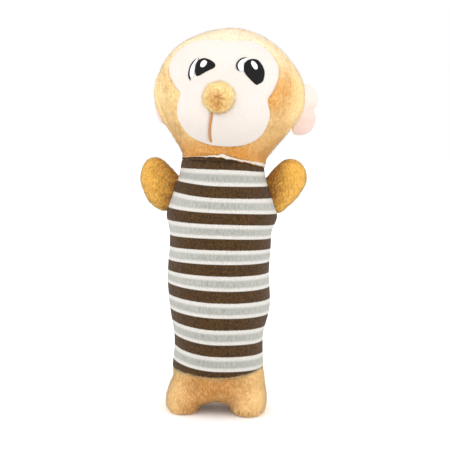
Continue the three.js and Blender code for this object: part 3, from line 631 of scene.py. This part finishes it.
def pile(name, base, count, length, width, seed, lay=(0.0, -0.25, -0.9), rise=0.75, spread=0.45, keep=None):
    """Plush pile over a panel: fine closed spikes rooted in it, leaning the way it is brushed, and shaded
    as the soft surface that they make together."""
    mesh = base.data
    mesh.calc_loop_triangles()
    rng = np.random.default_rng(seed)
    tri = spots_of(mesh)[rows_of(mesh.loop_triangles, "vertices", int)]
    cross = np.cross(tri[:, 1] - tri[:, 0], tri[:, 2] - tri[:, 0])
    size = np.linalg.norm(cross, axis=1)
    pick = rng.choice(len(tri), count, p=size / size.sum())
    a, b = rng.random((2, count, 1))
    a, b = np.where(a + b > 1, 1 - a, a), np.where(a + b > 1, 1 - b, b)
    root = tri[pick, 0] + a * (tri[pick, 1] - tri[pick, 0]) + b * (tri[pick, 2] - tri[pick, 0])
    normal = (cross / np.maximum(size, 1e-9)[:, None])[pick]
    if keep is not None:
        chosen = keep(root, normal)
        root, normal, count = root[chosen], normal[chosen], int(chosen.sum())
    brushed = np.array(lay) + 0.8 * joined(*[mottle(root, 5.0, seed) for seed in (1.1, 2.2, 3.3)])
    brushed = brushed - (brushed * normal).sum(-1, keepdims=True) * normal
    way = unit(normal * rise + brushed * 0.6 + rng.normal(0, spread, (count, 3)) * 0.5)
    tall = length * rng.uniform(0.65, 1.15, (count, 1)) * (1 + 0.2 * mottle(root, 3.5, 6.0)[:, None])
    side = unit(np.cross(way, rng.normal(0, 1, (count, 3))))
    other = np.cross(way, side)
    foot = root - normal * 0.25
    ring = [foot + width * (math.cos(t) * side + math.sin(t) * other) for t in (0, 2.094, 4.189)]
    points = np.stack([*ring, root + way * tall], 1).reshape(-1, 3)
    first = 4 * np.arange(count)[:, None, None]
    faces = (first + np.array([(0, 1, 3), (1, 2, 3), (2, 0, 3), (0, 2, 1)])).reshape(-1, 3)
    made = mesh_of(name, points, faces, base.data.materials[0])
    reach = rng.uniform(0.6, 1.0, (count, 1)) * np.array([[0.0, 0.0, 0.0, 1.0]])
    fibre = np.repeat(rng.normal(0, 0.09, count), 4)
    for key, values in (("reach", reach), ("fibre", fibre)):
        made.data.attributes.new(key, "FLOAT", "POINT").data.foreach_set("value", values.reshape(-1))
    soft = normal * 0.85 + way * 0.15
    made.data.normals_split_custom_set_from_vertices(np.repeat(soft, 4, axis=0).tolist())
    return made


def less_worn(root, normal):
    """Every root on the jaw, down to two in five at the crown and the sides, where the pile is worn flat."""
    wear_and_light = np.maximum((root[:, 2] - 198) / 15, (np.abs(root[:, 0] - TOY_AXIS[0]) - 34) / 6)
    return np.arange(len(root)) % 5 >= 3 * np.clip(wear_and_light, 0, 1)


front_panel = head_panel(face_lean(round_head), seam_lean(round_head, False), 64)
back_panel = head_panel(np.full(COLUMNS, np.pi - 0.01), seam_lean(round_head, True), 90)
head_front_plush = cloth_of("head_front_plush", set_head(front_panel), plush, flip=True)
head_back_plush = cloth_of("head_back_plush", set_head(back_panel), plush, ends=(True, False))
head_front_pile = pile("head_front_pile", head_front_plush, 34000, length=1.0, width=0.06, seed=11, keep=less_worn)
head_back_pile = pile("head_back_pile", head_back_plush, 40000, length=1.0, width=0.06, seed=12, keep=less_worn)
for part in (head_front_plush, head_back_plush, head_front_pile, head_back_pile):
    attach(part, "head")
for panel, node in ((head_front_plush, "head_front_panel"), (head_back_plush, "head_back_panel")):
    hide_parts(node)

# Face: white velour with a short nap, let into the head's front and stretched over the muzzle's own
# stuffing. It dips along the mouth, from under the nose to the chin.


def velour_of(name, grain):
    """Napped cloth in fine relief: its material, shader and place, and how high the nap stands, from 0 to 1."""
    made, shader, place = fabric(name, roughness=0.9, Sheen_Weight=0.3, Sheen_Roughness=0.4)
    nap = place.noise(grain, 4.0, 0.7)
    relief(shader, nap, 0.35, 0.0003)
    return made, shader, place, nap.between(0.25, 0.7)


velour, velour_shader, velour_place, nap = velour_of("white_velour", 1400.0)
white = nap.blend((216, 206, 197), (238, 231, 225))
into(velour_shader, "Base Color", velour_place.noise(90.0).between(0.35, 0.7).blend(white, (233, 222, 213)))
face_grid_lean, face_share = lines_between(np.full(COLUMNS, 0.01), face_lean(round_head) + 0.004, 90)
face_points, face_way = head_point(face_grid_lean, round_head + 0 * face_grid_lean)
face_edge_gap = (1 - face_share) * np.linalg.norm(np.diff(face_points, axis=0), axis=-1).sum(0)
face_soft = 0.3 * mottle(face_points, 11.0, 2.9) + 0.25 * mottle(face_points, 3.0, 7.1) * fading(face_edge_gap, 3)
# The mouth's line, across and up, from under the nose to the chin
MOUTH = [(-4.4, 180.0), (-4.6, 177.5), (-5.0, 174.4), (-5.7, 169.6), (-6.0, 165.5), (-5.7, 162.6), (-5.2, 160.8)]
MOUTH_LOW, MOUTH_HIGH = 160.5, 181.5
mouth_x, mouth_z = np.array(MOUTH[::-1]).T
face_x, _, face_z = np.moveaxis(face_points, -1, 0)
mouth_line = 1.4 * bell(face_x - np.interp(face_z, mouth_z, mouth_x), 1.5)
mouth_line = mouth_line * np.clip((face_z - MOUTH_LOW) / 2, 0, 1) * np.clip((MOUTH_HIGH - face_z) / 2, 0, 1)
face_drop = face_soft - bell(face_edge_gap, 1.4) - mouth_line
face_points = face_points + face_way * face_drop[..., None]
face_velour = cloth_of("face_velour", set_head(face_points), velour, flip=True, ends=(True, False))
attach(face_velour, "head")
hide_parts("face_panel", "head_filling")

# Nose: a round of tan plush gathered behind over a ball of fibre. Its front is drawn in to a crease,
# from which the folds run out.


def metres(point):
    return tuple(point * 0.001)


NOSE_ACROSS, NOSE_HEIGHT, NOSE_OUT, NOSE_WIDE, NOSE_DEEP = -0.8, 186.7, 2.1, 8.5, 6.6
NOSE_AT = np.array([NOSE_ACROSS, -face_depth(NOSE_ACROSS, NOSE_HEIGHT) - NOSE_OUT, NOSE_HEIGHT])
nose_lean, nose_turn = np.meshgrid(np.linspace(0.01, np.pi - 0.01, 60), around(120), indexing="ij")
nose_way = way_at(nose_lean, nose_turn)
from_crease = nose_lean * NOSE_WIDE
nose_fold = np.sin(5 * nose_turn + 2.5 * np.sin(nose_turn) + 0.8) * 0.6 * bell(from_crease - 2.6, 1.8)
nose_dip = -1.7 * bell(from_crease, 1.2) + 0.5 * mottle(nose_way, 0.35, 5.0) + nose_fold
nose_ball = NOSE_AT + nose_way * (NOSE_WIDE, NOSE_DEEP, NOSE_WIDE) + nose_way * nose_dip[..., None]
NOSE_CREASE = metres(set_head(NOSE_AT - (0, NOSE_DEEP - 0.5, 3.6)))


def nose_painted_shade_and_light(place):
    """Painted shade, deepest in the crease where the gathers meet, and painted light, palest round the rim."""
    return place.distance(NOSE_CREASE).between(0.001, 0.0105) * 0.78 + 0.28


soft_plush = plush_of("nose_plush", (206, 134, 50), (255, 226, 158), (255, 242, 200), nose_painted_shade_and_light)
nose_plush = cloth_of("nose_plush", set_head(nose_ball), soft_plush, flip=True, thick=0, ends=(True, True))
nose_pile = pile("nose_pile", nose_plush, 3200, length=2.1, width=0.05, seed=21, lay=(0, 0, 0), rise=0.8,
                 spread=1.0)
for part in (nose_plush, nose_pile):
    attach(part, "head")
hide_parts("nose")

# Mouth and eyes: embroidery. Satin stitch lies in low pads of parallel thread, and each line is a
# narrow row of the same stitch.


def face_at(x, z, lift):
    """A place on the face, lifted off it along its normal, which comes from the slopes beside it."""
    step = 0.1
    depth = face_depth(x, z)
    slopes = [(face_depth(x + step, z) - depth) / step, (face_depth(x, z + step) - depth) / step]
    normal = unit(joined(-slopes[0], -np.ones_like(x), -slopes[1]))
    return joined(x, -depth, z) + normal * np.asarray(lift)[..., None]


def loop_through(points, count):
    """A smooth closed line through points."""
    points = np.array(points, float)
    wrapped = np.concatenate([points[-3:], points, points[:3]])
    table = np.column_stack([np.arange(-3, len(points) + 3), wrapped])
    return eased(table, np.linspace(0, len(points), count, endpoint=False)).T


def satin_pad(name, outline, material, height, thread_turn):
    """Stitched fill: from its middle to its outline, high in the middle, ridged along its threads."""
    edge = loop_through(outline, 144)
    middle = edge.mean(0)
    share = np.linspace(0.01, 1, 44)[:, None]
    spot = middle + (edge - middle) * share[..., None]
    x, z = spot[..., 0], spot[..., 1]
    across = x * math.cos(thread_turn) + z * math.sin(thread_turn)
    ridge = 0.06 * np.sin(across * 2 * np.pi / 0.55) + 0.05 * mottle(spot[..., [0, 1, 1]], 0.8, 2.0)
    pad = height * np.sqrt(np.clip(1 - share ** 5, 0, 1)) + ridge * (share < 0.99)
    return cloth_of(name, set_head(face_at(x, z, pad)), material, thick=0.5, ends=(True, False))


def stitched_line(name, path, material, width, height, pitch, lift):
    """A line of stitches along a path on the face: a flat half-round, ridged across itself."""
    line = eased(np.column_stack([np.arange(len(path)), path]), np.linspace(0, len(path) - 1, 240)).T
    way = unit(np.gradient(line, axis=0))
    side = joined(-way[:, 1], way[:, 0])
    travel = np.concatenate([[0], np.cumsum(np.linalg.norm(np.diff(line, axis=0), axis=1))])
    round_it = around(12)
    taper = np.sqrt(np.clip(np.minimum(travel, travel[-1] - travel) / (2 * width), 0.03, 1))
    swell = (1 + 0.12 * np.sin(travel * 2 * np.pi / pitch)) * taper
    out = np.cos(round_it) * (width / 2 * swell)[:, None]
    rise = lift + np.sin(round_it) * (height * swell)[:, None]
    spot = line[:, None] + side[:, None] * out[..., None]
    return cloth_of(name, set_head(face_at(spot[..., 0], spot[..., 1], rise)), material, thick=0, ends=(True, True))


THREAD = 1500.0, 0.3, 0.0002
black_thread = speckled("black_thread", (6, 6, 7), (22, 20, 22), *THREAD, roughness=0.6, Specular_IOR_Level=0.18)
white_thread = speckled("white_thread", (244, 245, 247), (255, 255, 255), *THREAD, roughness=0.5)
tan_thread = speckled("tan_thread", (176, 112, 56), (222, 160, 96), *THREAD, roughness=0.7)

EYES = {
    "left": {
        "edge": [(-12.3, 208.8), (-9.3, 208.0), (-6.7, 206.5), (-5.8, 204.9), (-6.6, 203.4), (-10.2, 201.4),
                 (-14.6, 198.6), (-16.5, 198.9), (-17.4, 202.4), (-16.6, 206.6), (-14.6, 208.3)],
        "arc": [(-19.2, 195.7), (-20.3, 198.0), (-20.4, 201.2), (-19.7, 204.3), (-18.2, 206.7), (-15.8, 208.5)],
        "white": [(-16.6, 208.0), (-18.6, 205.0), (-19.7, 201.6), (-19.4, 198.2), (-18.2, 197.6), (-17.8, 201.0),
                  (-17.6, 204.6)],
        "glint": [(-12.3, 207.5), (-10.5, 206.4), (-11.0, 204.3), (-12.6, 202.9), (-14.3, 203.6), (-14.1, 206.0)],
        "threads": 1.1,
    },
    "right": {
        "edge": [(14.2, 210.4), (17.0, 210.1), (19.3, 208.1), (20.9, 205.7), (21.8, 202.6), (21.3, 198.3),
                 (19.0, 196.3), (17.2, 196.2), (11.8, 200.9), (10.3, 203.5), (10.1, 207.1), (11.7, 209.3)],
        "arc": [(7.7, 202.7), (6.5, 204.3), (6.1, 206.2), (6.8, 208.1), (8.5, 209.7), (11.6, 210.6)],
        "white": [(11.4, 210.0), (9.1, 209.3), (7.3, 207.4), (7.0, 205.0), (8.2, 203.3), (9.6, 203.6), (9.4, 207.0)],
        "glint": [(13.7, 208.9), (15.6, 208.5), (17.4, 206.3), (17.5, 204.2), (15.7, 204.2), (13.6, 206.9)],
        "threads": -0.5,
    },
}
for side, eye in EYES.items():
    black = satin_pad(f"eye_{side}_black", eye["edge"], black_thread, height=0.75, thread_turn=eye["threads"])
    glint = satin_pad(f"eye_{side}_glint_thread", eye["glint"], white_thread, height=1.15, thread_turn=0.3)
    crescent = satin_pad(
        f"eye_{side}_white", eye["white"], white_thread, height=0.35, thread_turn=eye["threads"] + 0.9)
    arc = stitched_line(f"eye_{side}_arc", eye["arc"], black_thread, width=0.95, height=0.65, pitch=0.5, lift=0.15)
    for part, node, slot in (
        (black, f"eye_{side}", "black_embroidery"),
        (glint, f"eye_{side}_glint", "white_embroidery"),
        (arc, f"eye_{side}_lid_line", "black_embroidery"),
        (crescent, None, "white_embroidery"),
    ):
        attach(part, "head")
        if node:
            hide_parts(node)

mouth_thread = stitched_line("mouth_thread", MOUTH, tan_thread, width=1.3, height=0.7, pitch=1.1, lift=-0.85)
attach(mouth_thread, "head")
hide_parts("mouth_stitch")

# Ears: a pink velour round with a tan plush back, puffed out a little, creased once across its middle
# and sewn into the side seam of the head.
pink, pink_shader, pink_place, pink_nap = velour_of("pink_velour", 1300.0)
# Painted light and shade on the pink: paler higher up, and on the viewer's right ear deeper near the head, where
# shade falls, and paler further out.
pink_painted_light, pink_side = pink_place.axis(2).between(0.178, 0.19), pink_place.axis(0)
pink_painted_light = pink_painted_light + 0.25 - pink_side.between(-0.02, 0.02) * 0.5 + pink_side.between(0.036, 0.046) * 0.25
shaded_pink = pink_nap.blend((224, 188, 174), (240, 216, 204))
lit_pink = pink_nap.blend((236, 216, 204), (246, 234, 224))
into(pink_shader, "Base Color", (pink_painted_light * 0.75 + pink_place.noise(120.0) * 0.25).blend(shaded_pink, lit_pink))

EAR_TALL, EAR_LONG, EAR_THICK, EAR_CUP, EAR_HEIGHT, EAR_BACK = 15.0, 11.4, 3.3, 2.4, 185.8, 4.0
EARS = {"left": (-1, math.radians(90)), "right": (1, math.radians(74))}


def ear_layer(side, splay, layer):
    """One layer of an ear: two soft lobes side by side, cut off at the seam, cupped, and following the
    head's side at its root."""
    turn, share = np.meshgrid(around(120), np.sin(np.linspace(0.02, np.pi / 2, 40)))
    off = np.arctan2(np.sin(turn), np.cos(turn))
    notch = 1 - 0.2 * bell(off - 0.16, 0.28) + 0.1 * bell(off - 0.75, 0.35)
    edge = (np.abs(np.cos(turn) / EAR_LONG) ** 2.2 + np.abs(np.sin(turn) / EAR_TALL) ** 2.2) ** (-1 / 2.2) * notch
    middle = EAR_LONG * 0.86
    to_seam = (middle + 0.8) / np.maximum(-np.cos(turn), 1e-9)
    far = np.minimum(edge, to_seam) * share
    x, z = middle + far * np.cos(turn), far * np.sin(turn)
    thin = np.clip(x / EAR_LONG + 0.25, 0, 1)
    valley = 1 - 0.75 * bell(z, 2.4) * np.clip(x / 6, 0, 1)
    pucker = 0.4 * np.sin(z * 1.1) * fading(x, 4)
    y = layer * (EAR_THICK * np.sqrt(1 - share ** 2.6) * thin * valley + pucker * (1 - share ** 6))
    y = y - side * EAR_CUP * (x / (2 * EAR_LONG)) ** 2
    y = y + 0.35 * mottle(joined(x, 0, z), 6.0, 3.0 + side)
    spin = np.array(Matrix.Rotation(splay if side > 0 else math.pi - splay, 3, "Z"))
    section = float(half_size(EAR_HEIGHT, HEAD_BACK, NECK_DEEP))
    wide = float(half_size(EAR_HEIGHT, HEAD_WIDE, NECK_WIDE))
    root = np.array([side * (wide * math.sqrt(1 - (EAR_BACK / section) ** 2) - 0.6), EAR_BACK, EAR_HEIGHT])
    spots = joined(x, y, z) @ spin.T + root
    follow = (half_size(spots[..., 2], HEAD_WIDE, NECK_WIDE) - wide) * np.clip(1 - 1.1 * x / (2 * EAR_LONG), 0.1, 1)
    spots[..., 0] += side * follow
    return set_head(spots), set_head(root), (HEAD_PLACE @ spin)[:, 0]


for side_name, (side, splay) in EARS.items():
    for layer_name, layer, cloth in (("front", -side, pink), ("back", side, plush)):
        grid, root, way = ear_layer(side, splay, layer)
        name = f"ear_{side_name}_{layer_name}"
        ear = cloth_of(f"{name}_cloth", grid, cloth, flip=layer > 0, thick=0.4, ends=(True, False))
        length, count = (0.55, 9000) if cloth is pink else (1.1, 7000)
        fluff = pile(f"{name}_pile", ear, count, length, width=0.1, seed=31 + side)
        for part in (ear, fluff):
            metres(root)
            metres(root + way * 4)
            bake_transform(part)
        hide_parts(name)

# Arms: flat mitts of the tan plush, a front and a back panel sewn round their edge, lightly stuffed,
# turned right side out and sewn into the body's side seams.
ARM_SEAM, MITT_MIDDLE, MITT_ROWS = 29.0, 38.5, 81


def arm_painted_shade(place):
    """Painted shade, deepest where the root is gathered into the seam against the body, and none at the mitt's end,
    which is palest.
    """
    across = off_axis(place) + place.axis(0).between(-0.01, 0.01) * 0.002
    return across.between(0.0285, 0.047) * 0.95 + 0.1


arm_plush = plush_of("tan_plush_arms", (150, 86, 22), (255, 198, 94), (255, 218, 140), arm_painted_shade)
ARM_EDGES = {
    "left": [(-24.5, 128.0), (-22.5, 138.0), (-26.6, 143.4), (-31.2, 147.8), (-35.6, 151.6), (-40.2, 153.2),
             (-44.8, 151.8), (-47.6, 147.8), (-48.9, 143.2), (-49.0, 138.5), (-47.4, 132.8), (-44.6, 127.4),
             (-41.2, 123.6), (-37.4, 121.2), (-33.6, 120.2), (-29.0, 122.0)],
    "right": [(24.5, 127.0), (23.0, 138.0), (27.4, 144.0), (31.6, 149.0), (36.4, 153.0), (41.0, 154.3),
              (45.6, 152.9), (49.4, 149.2), (51.0, 144.6), (50.6, 139.4), (48.2, 134.8), (45.2, 130.0),
              (41.6, 126.4), (38.2, 123.2), (34.8, 120.8), (30.0, 121.5)],
}
# Where the arm's root sits, across and up from the toy's axis, and the way that it points there
ARM_ROOT, ARM_WAY = (30.96, 134.48), (0.951, 0.31)


def mitt(edge, sign):
    """Both panels as one grid, from the middle of the front over the edge to the middle of the back: each
    swells up from its edge, and is thin and puckered at its root."""
    line = loop_through(edge, 160)
    middle = np.array([sign * MITT_MIDDLE, line[:, 1].mean()])
    run = np.linspace(0.03, np.pi - 0.03, MITT_ROWS)[:, None]
    share, face = np.sin(run), np.where(np.cos(run) > 0, -1.0, 1.0)
    spot = middle + (line - middle) * 0.95 * share[..., None]
    x, z = spot[..., 0], spot[..., 1]
    from_root = np.clip(sign * x - ARM_SEAM, -4, 30)
    thin = np.clip((from_root + 3) / 17, 0, 1)
    thin = 0.35 + 0.65 * thin * (2 - thin)
    swell = 8.4 * np.sqrt(np.clip(1 - share ** 2.3, 0, 1)) * thin
    inside = 1 - share ** 4
    pucker = 0.6 * np.sin(z * 0.95 + 1.5) * fading(from_root, 4.5) * inside
    lumps = 0.4 * mottle(joined(x, 5 * face, z), 7.0, 1.9) * inside
    seam = 0.5 * mottle(joined(x, 0, z), 3.0, 4.9) * bell(share - 0.9, 0.08)
    return joined(x, face * (swell + pucker + lumps + np.abs(seam)), z) + TOY_AXIS


# The filling's pressure on the cloth, and the frames that the cloth has to give way to it
PRESSURE, FRAMES = 4.0, 20


def stuffed(skin, cap, hold):
    """Blows a skin up with its filling, round the points that are held; none moves further than the cap."""
    before = spots_of(skin.data)
    cloth = skin.modifiers.new("filling", "CLOTH")
    cloth.settings.use_pressure = True
    cloth.settings.uniform_pressure_force = PRESSURE
    cloth.settings.effector_weights.gravity = 0.0
    cloth.settings.quality = 4
    group = skin.vertex_groups.new(name="held")
    group.add(np.nonzero(hold(before))[0].tolist(), 1.0, "REPLACE")
    cloth.settings.vertex_group_mass = "held"
    cloth.point_cache.frame_end = FRAMES
    for frame_number in range(1, FRAMES + 1):
        bpy.context.scene.frame_set(frame_number)
    graph = bpy.context.evaluated_depsgraph_get()
    blown = skin.evaluated_get(graph).to_mesh()
    moved = spots_of(blown) - before
    skin.evaluated_get(graph).to_mesh_clear()
    skin.modifiers.clear()
    bpy.context.scene.frame_set(1)
    far = np.linalg.norm(moved, axis=1, keepdims=True)
    after = before + moved * np.minimum(1, cap / np.maximum(far, 1e-9))
    skin.data.vertices.foreach_set("co", (after * 0.001).reshape(-1))


for side_name, edge in ARM_EDGES.items():
    sign = -1 if side_name == "left" else 1
    root = np.array([sign * ARM_ROOT[0], 0, ARM_ROOT[1]]) + TOY_AXIS
    way = np.array([sign * ARM_WAY[0], 0, ARM_WAY[1]])
    grid = mitt(edge, sign)
    skin_faces = grid_faces(*grid.shape[:2], flip=sign < 0, ends=(True, True))
    skin = mesh_of(f"arm_{side_name}_skin", grid.reshape(-1, 3), skin_faces, arm_plush)
    stuffed(skin, cap=1.2, hold=lambda p: sign * (p[:, 0] - TOY_AXIS[0]) < ARM_SEAM)
    grid = spots_of(skin.data).reshape(grid.shape)
    bpy.data.objects.remove(skin)
    halves = (("front", grid[:MITT_ROWS // 2 + 1], (True, False)), ("back", grid[MITT_ROWS // 2:], (False, True)))
    for face_name, half, ends in halves:
        name = f"arm_{side_name}_{face_name}"
        panel = cloth_of(f"{name}_plush", half, arm_plush, flip=sign < 0, thick=0.5, ends=ends)
        fur = pile(f"{name}_pile", panel, 9000, length=1.0, width=0.065, seed=41)
        for part in (panel, fur):
            metres(root - way)
            metres(root + way * 6)
            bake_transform(part)
        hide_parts(f"{name}_panel", *([f"arm_{side_name}_filling"] if face_name == "back" else []))

# Legs: a short hip over two stubby feet in the tan plush, a front and a back panel sewn at the sides
# and between the feet. The plush laps over the jersey's hem.
ARCH_HIGH, HIP_TOP = 7.4, HEM + 9.0


def leg_painted_shade_and_light(place):
    """Painted shade between the feet, and painted light, paler towards the sides."""
    return off_axis(place, 0.0044).between(0.008, 0.031) * 0.95 + 0.16


leg_plush = plush_of("tan_plush_legs", (194, 134, 66), (252, 208, 144), (255, 226, 166), leg_painted_shade_and_light)
# Painted light: a paler copy of the legs' plush, for the pile that laps over the hem and would otherwise render dark
# in its own shade.
lit_hem_plush = plush_of("tan_plush_hem_painted_light", (236, 182, 112), (255, 232, 178), (255, 240, 200), leg_painted_shade_and_light)


def soft_block(middle, half, upright, round_about, foot=1.0):
    """A closed block with soft sides: a ball whose sines and cosines are pressed flatter, by one power
    up its height, times another for its lower half, and by a third round about."""
    rise, turn = np.meshgrid(np.linspace(-np.pi / 2 + 0.02, np.pi / 2 - 0.02, 32), around(64), indexing="ij")
    upright = np.where(rise < 0, upright * foot, upright)
    pressed = [np.sign(part) * np.abs(part) ** power for part, power in (
        (np.cos(rise), upright), (np.cos(turn), round_about), (np.sin(turn), round_about), (np.sin(rise), upright))]
    ball = joined(pressed[0] * pressed[1], pressed[0] * pressed[2], pressed[3])
    return ball * half + middle


def hem_by(spots):
    """Height of the hem at the turn of each spot about the toy's axis."""
    return hem_at(np.arctan2(spots[:, 0] - TOY_AXIS[0], TOY_AXIS[1] - spots[:, 1]))


def on_show(root, normal):
    """Roots between the floor and the hem."""
    return (root[:, 2] > 1.3) & (root[:, 2] < hem_by(root) + 0.5)


def at_hem(root, normal):
    """Roots along the top edge, where the longer pile laps over the jersey."""
    return np.abs(root[:, 2] - hem_by(root) + 0.3) < 0.8


# How far the legs' left and right sides are pushed to the viewer's right, at each height
LEG_SHIFT = [
    (0, 0.5, 1.0), (4, 0.6, 1.2), (9, 0.9, 1.3), (14, 1.9, 1.2), (18, 2.4, 0.9), (22, 2.0, 0.4), (27, 0.8, 0.0)]
leg_parts = [
    soft_block((-20.3, -0.6, 9.4), (10.6, 18.8, 11.8), 0.66, 0.75, foot=0.88),
    soft_block((17.9, -1.8, 9.4), (11.0, 19.6, 12.1), 0.74, 0.75, foot=0.88),
    soft_block((0.0, 0.0, (HIP_TOP + ARCH_HIGH) / 2), (28.4, 21.6, (HIP_TOP - ARCH_HIGH) / 2), 0.55, 0.95),
]
# The hip's lower face is an arch: it comes down towards both feet
hip = leg_parts[2]
hip_down = 4.2 * np.clip(np.abs(hip[..., 0]) / 10.5, 0, 1.3) ** 2 * np.clip((15 - hip[..., 2]) / 7.6, 0, 1)
hip[..., 2] = np.maximum(hip[..., 2] - hip_down, 1.5)
leg_points, leg_faces, start = [], [], 0
for grid in leg_parts:
    leg_points.append(grid.reshape(-1, 3))
    leg_faces += [[corner + start for corner in face] for face in grid_faces(*grid.shape[:2], ends=(True, True))]
    start += grid.shape[0] * grid.shape[1]
leg_skin = mesh_of("leg_skin", np.concatenate(leg_points) + TOY_AXIS, leg_faces, leg_plush)
voxels = leg_skin.modifiers.new("one_skin", "REMESH")
voxels.mode = "VOXEL"
voxels.voxel_size = 0.0012
ease = leg_skin.modifiers.new("ease", "SMOOTH")
ease.factor, ease.iterations = 0.5, 18
graph = bpy.context.evaluated_depsgraph_get()
one_skin = bpy.data.meshes.new_from_object(leg_skin.evaluated_get(graph))
leg_skin.modifiers.clear()
leg_skin.data = one_skin
stuffed(leg_skin, cap=0.8, hold=lambda p: (p[:, 2] > HEM + 1) | (p[:, 2] < 0.8))
leg_spots, leg_normals = spots_of(leg_skin.data), rows_of(leg_skin.data.vertices, "normal")
over_hem = np.clip((leg_spots[:, 2] - hem_by(leg_spots) + 0.4) / 1.5, 0, 1)
to_side = np.abs(leg_spots[:, 1] - TOY_AXIS[1])
leg_dip = 0.4 * mottle(leg_spots, 6.0, 4.4) - bell(to_side, 1.3)
leg_dip += 0.35 * mottle(leg_spots, 2.4, 6.6) * fading(to_side, 3)
leg_dip += -2.8 * over_hem ** 2 * (3 - 2 * over_hem)
# The sole's seam puckers, most under the viewer's right foot
pucker = np.sin(leg_spots[:, 0] * 2.3 + 2 * mottle(leg_spots, 4.0, 2.0)) * bell(leg_spots[:, 2] - 2.6, 1.8)
leg_dip += pucker * np.where(leg_spots[:, 0] > 8, 0.55, 0.2)
leg_spots = leg_spots + leg_normals * leg_dip[:, None]
leg_side = (leg_spots[:, 0] - TOY_AXIS[0]) / 20
shift_left, shift_right = eased(LEG_SHIFT, leg_spots[:, 2])
leg_spots[:, 0] += shift_left * np.clip(-leg_side, 0, 1) + shift_right * np.clip(leg_side, 0, 1)
leg_spots[:, 2] = np.maximum(leg_spots[:, 2], 0.35)
leg_skin.data.vertices.foreach_set("co", (leg_spots * 0.001).reshape(-1))
for face_name, face in (("front", -1), ("back", 1)):
    half = bmesh.new()
    half.from_mesh(leg_skin.data)
    bmesh.ops.bisect_plane(
        half, geom=half.verts[:] + half.edges[:] + half.faces[:], plane_co=TOY_AXIS * 0.001,
        plane_no=(0, face, 0), clear_inner=True)
    name = f"leg_{face_name}"
    half_mesh = bpy.data.meshes.new(f"{name}_plush")
    half.to_mesh(half_mesh)
    half.free()
    half_mesh.materials.clear()
    half_mesh.materials.append(leg_plush)
    half_mesh.shade_smooth()
    panel = placed(f"{name}_plush", half_mesh)
    walled(panel, 0.6)
    fur = pile(f"{name}_pile", panel, 26000, length=1.1, width=0.065, seed=51, lay=(0.0, 0.0, 0.1), keep=on_show)
    lap = pile(f"{name}_hem_pile", panel, 60000, length=2.0, width=0.07, seed=52, lay=(0.0, 0.0, 0.9), spread=0.7,
               keep=at_hem)
    # The lapping pile takes the paler copy, painted light.
    lap.data.materials[0] = lit_hem_plush
    for part in (panel, fur, lap):
        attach(part, "body")
    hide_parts(f"{name}_panel", *(["leg_filling"] if face > 0 else []))
bpy.data.objects.remove(leg_skin)

# Squeaker: blown from milky plastic and hidden in the body's filling. Base, cap and reed are the solids themselves;
# the bellows between them, which in the toy press together as the cap is pushed down, are drawn again.
milky = speckled("milky_plastic", (222, 216, 202), (236, 232, 220), 160.0, 0.12, 0.0004, roughness=0.38,
                 Subsurface_Weight=0.1, Subsurface_Scale=0.002)
for node in ("squeaker_base", "squeaker_cap", "squeaker_reed"):
    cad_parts[node].data.materials.clear()
    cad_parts[node].data.materials.append(milky)

BELLOWS_LOW, BELLOWS_HIGH, BELLOWS_WIDE, BELLOWS_FOLD, BELLOWS_FOLDS, PRESSED = 76.0, 88.0, 14.0, 2.4, 3, 7.0
bellows_up, bellows_turn = np.meshgrid(np.linspace(0, 1, 61), around(96), indexing="ij")
fold_wave = 0.5 + 0.5 * np.cos(2 * np.pi * BELLOWS_FOLDS * bellows_up)
bellows_wide = BELLOWS_WIDE - BELLOWS_FOLD * fold_wave
bellows = joined(bellows_wide * np.cos(bellows_turn), bellows_wide * np.sin(bellows_turn),
                    BELLOWS_LOW + (BELLOWS_HIGH - BELLOWS_LOW) * bellows_up)
bellows_wall = cloth_of("squeaker_bellows_wall", bellows + TOY_AXIS, milky)
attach(bellows_wall, "body")
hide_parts("squeaker_bellows")
metres(TOY_AXIS + [0, 0, BELLOWS_LOW])
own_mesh(bellows_wall)
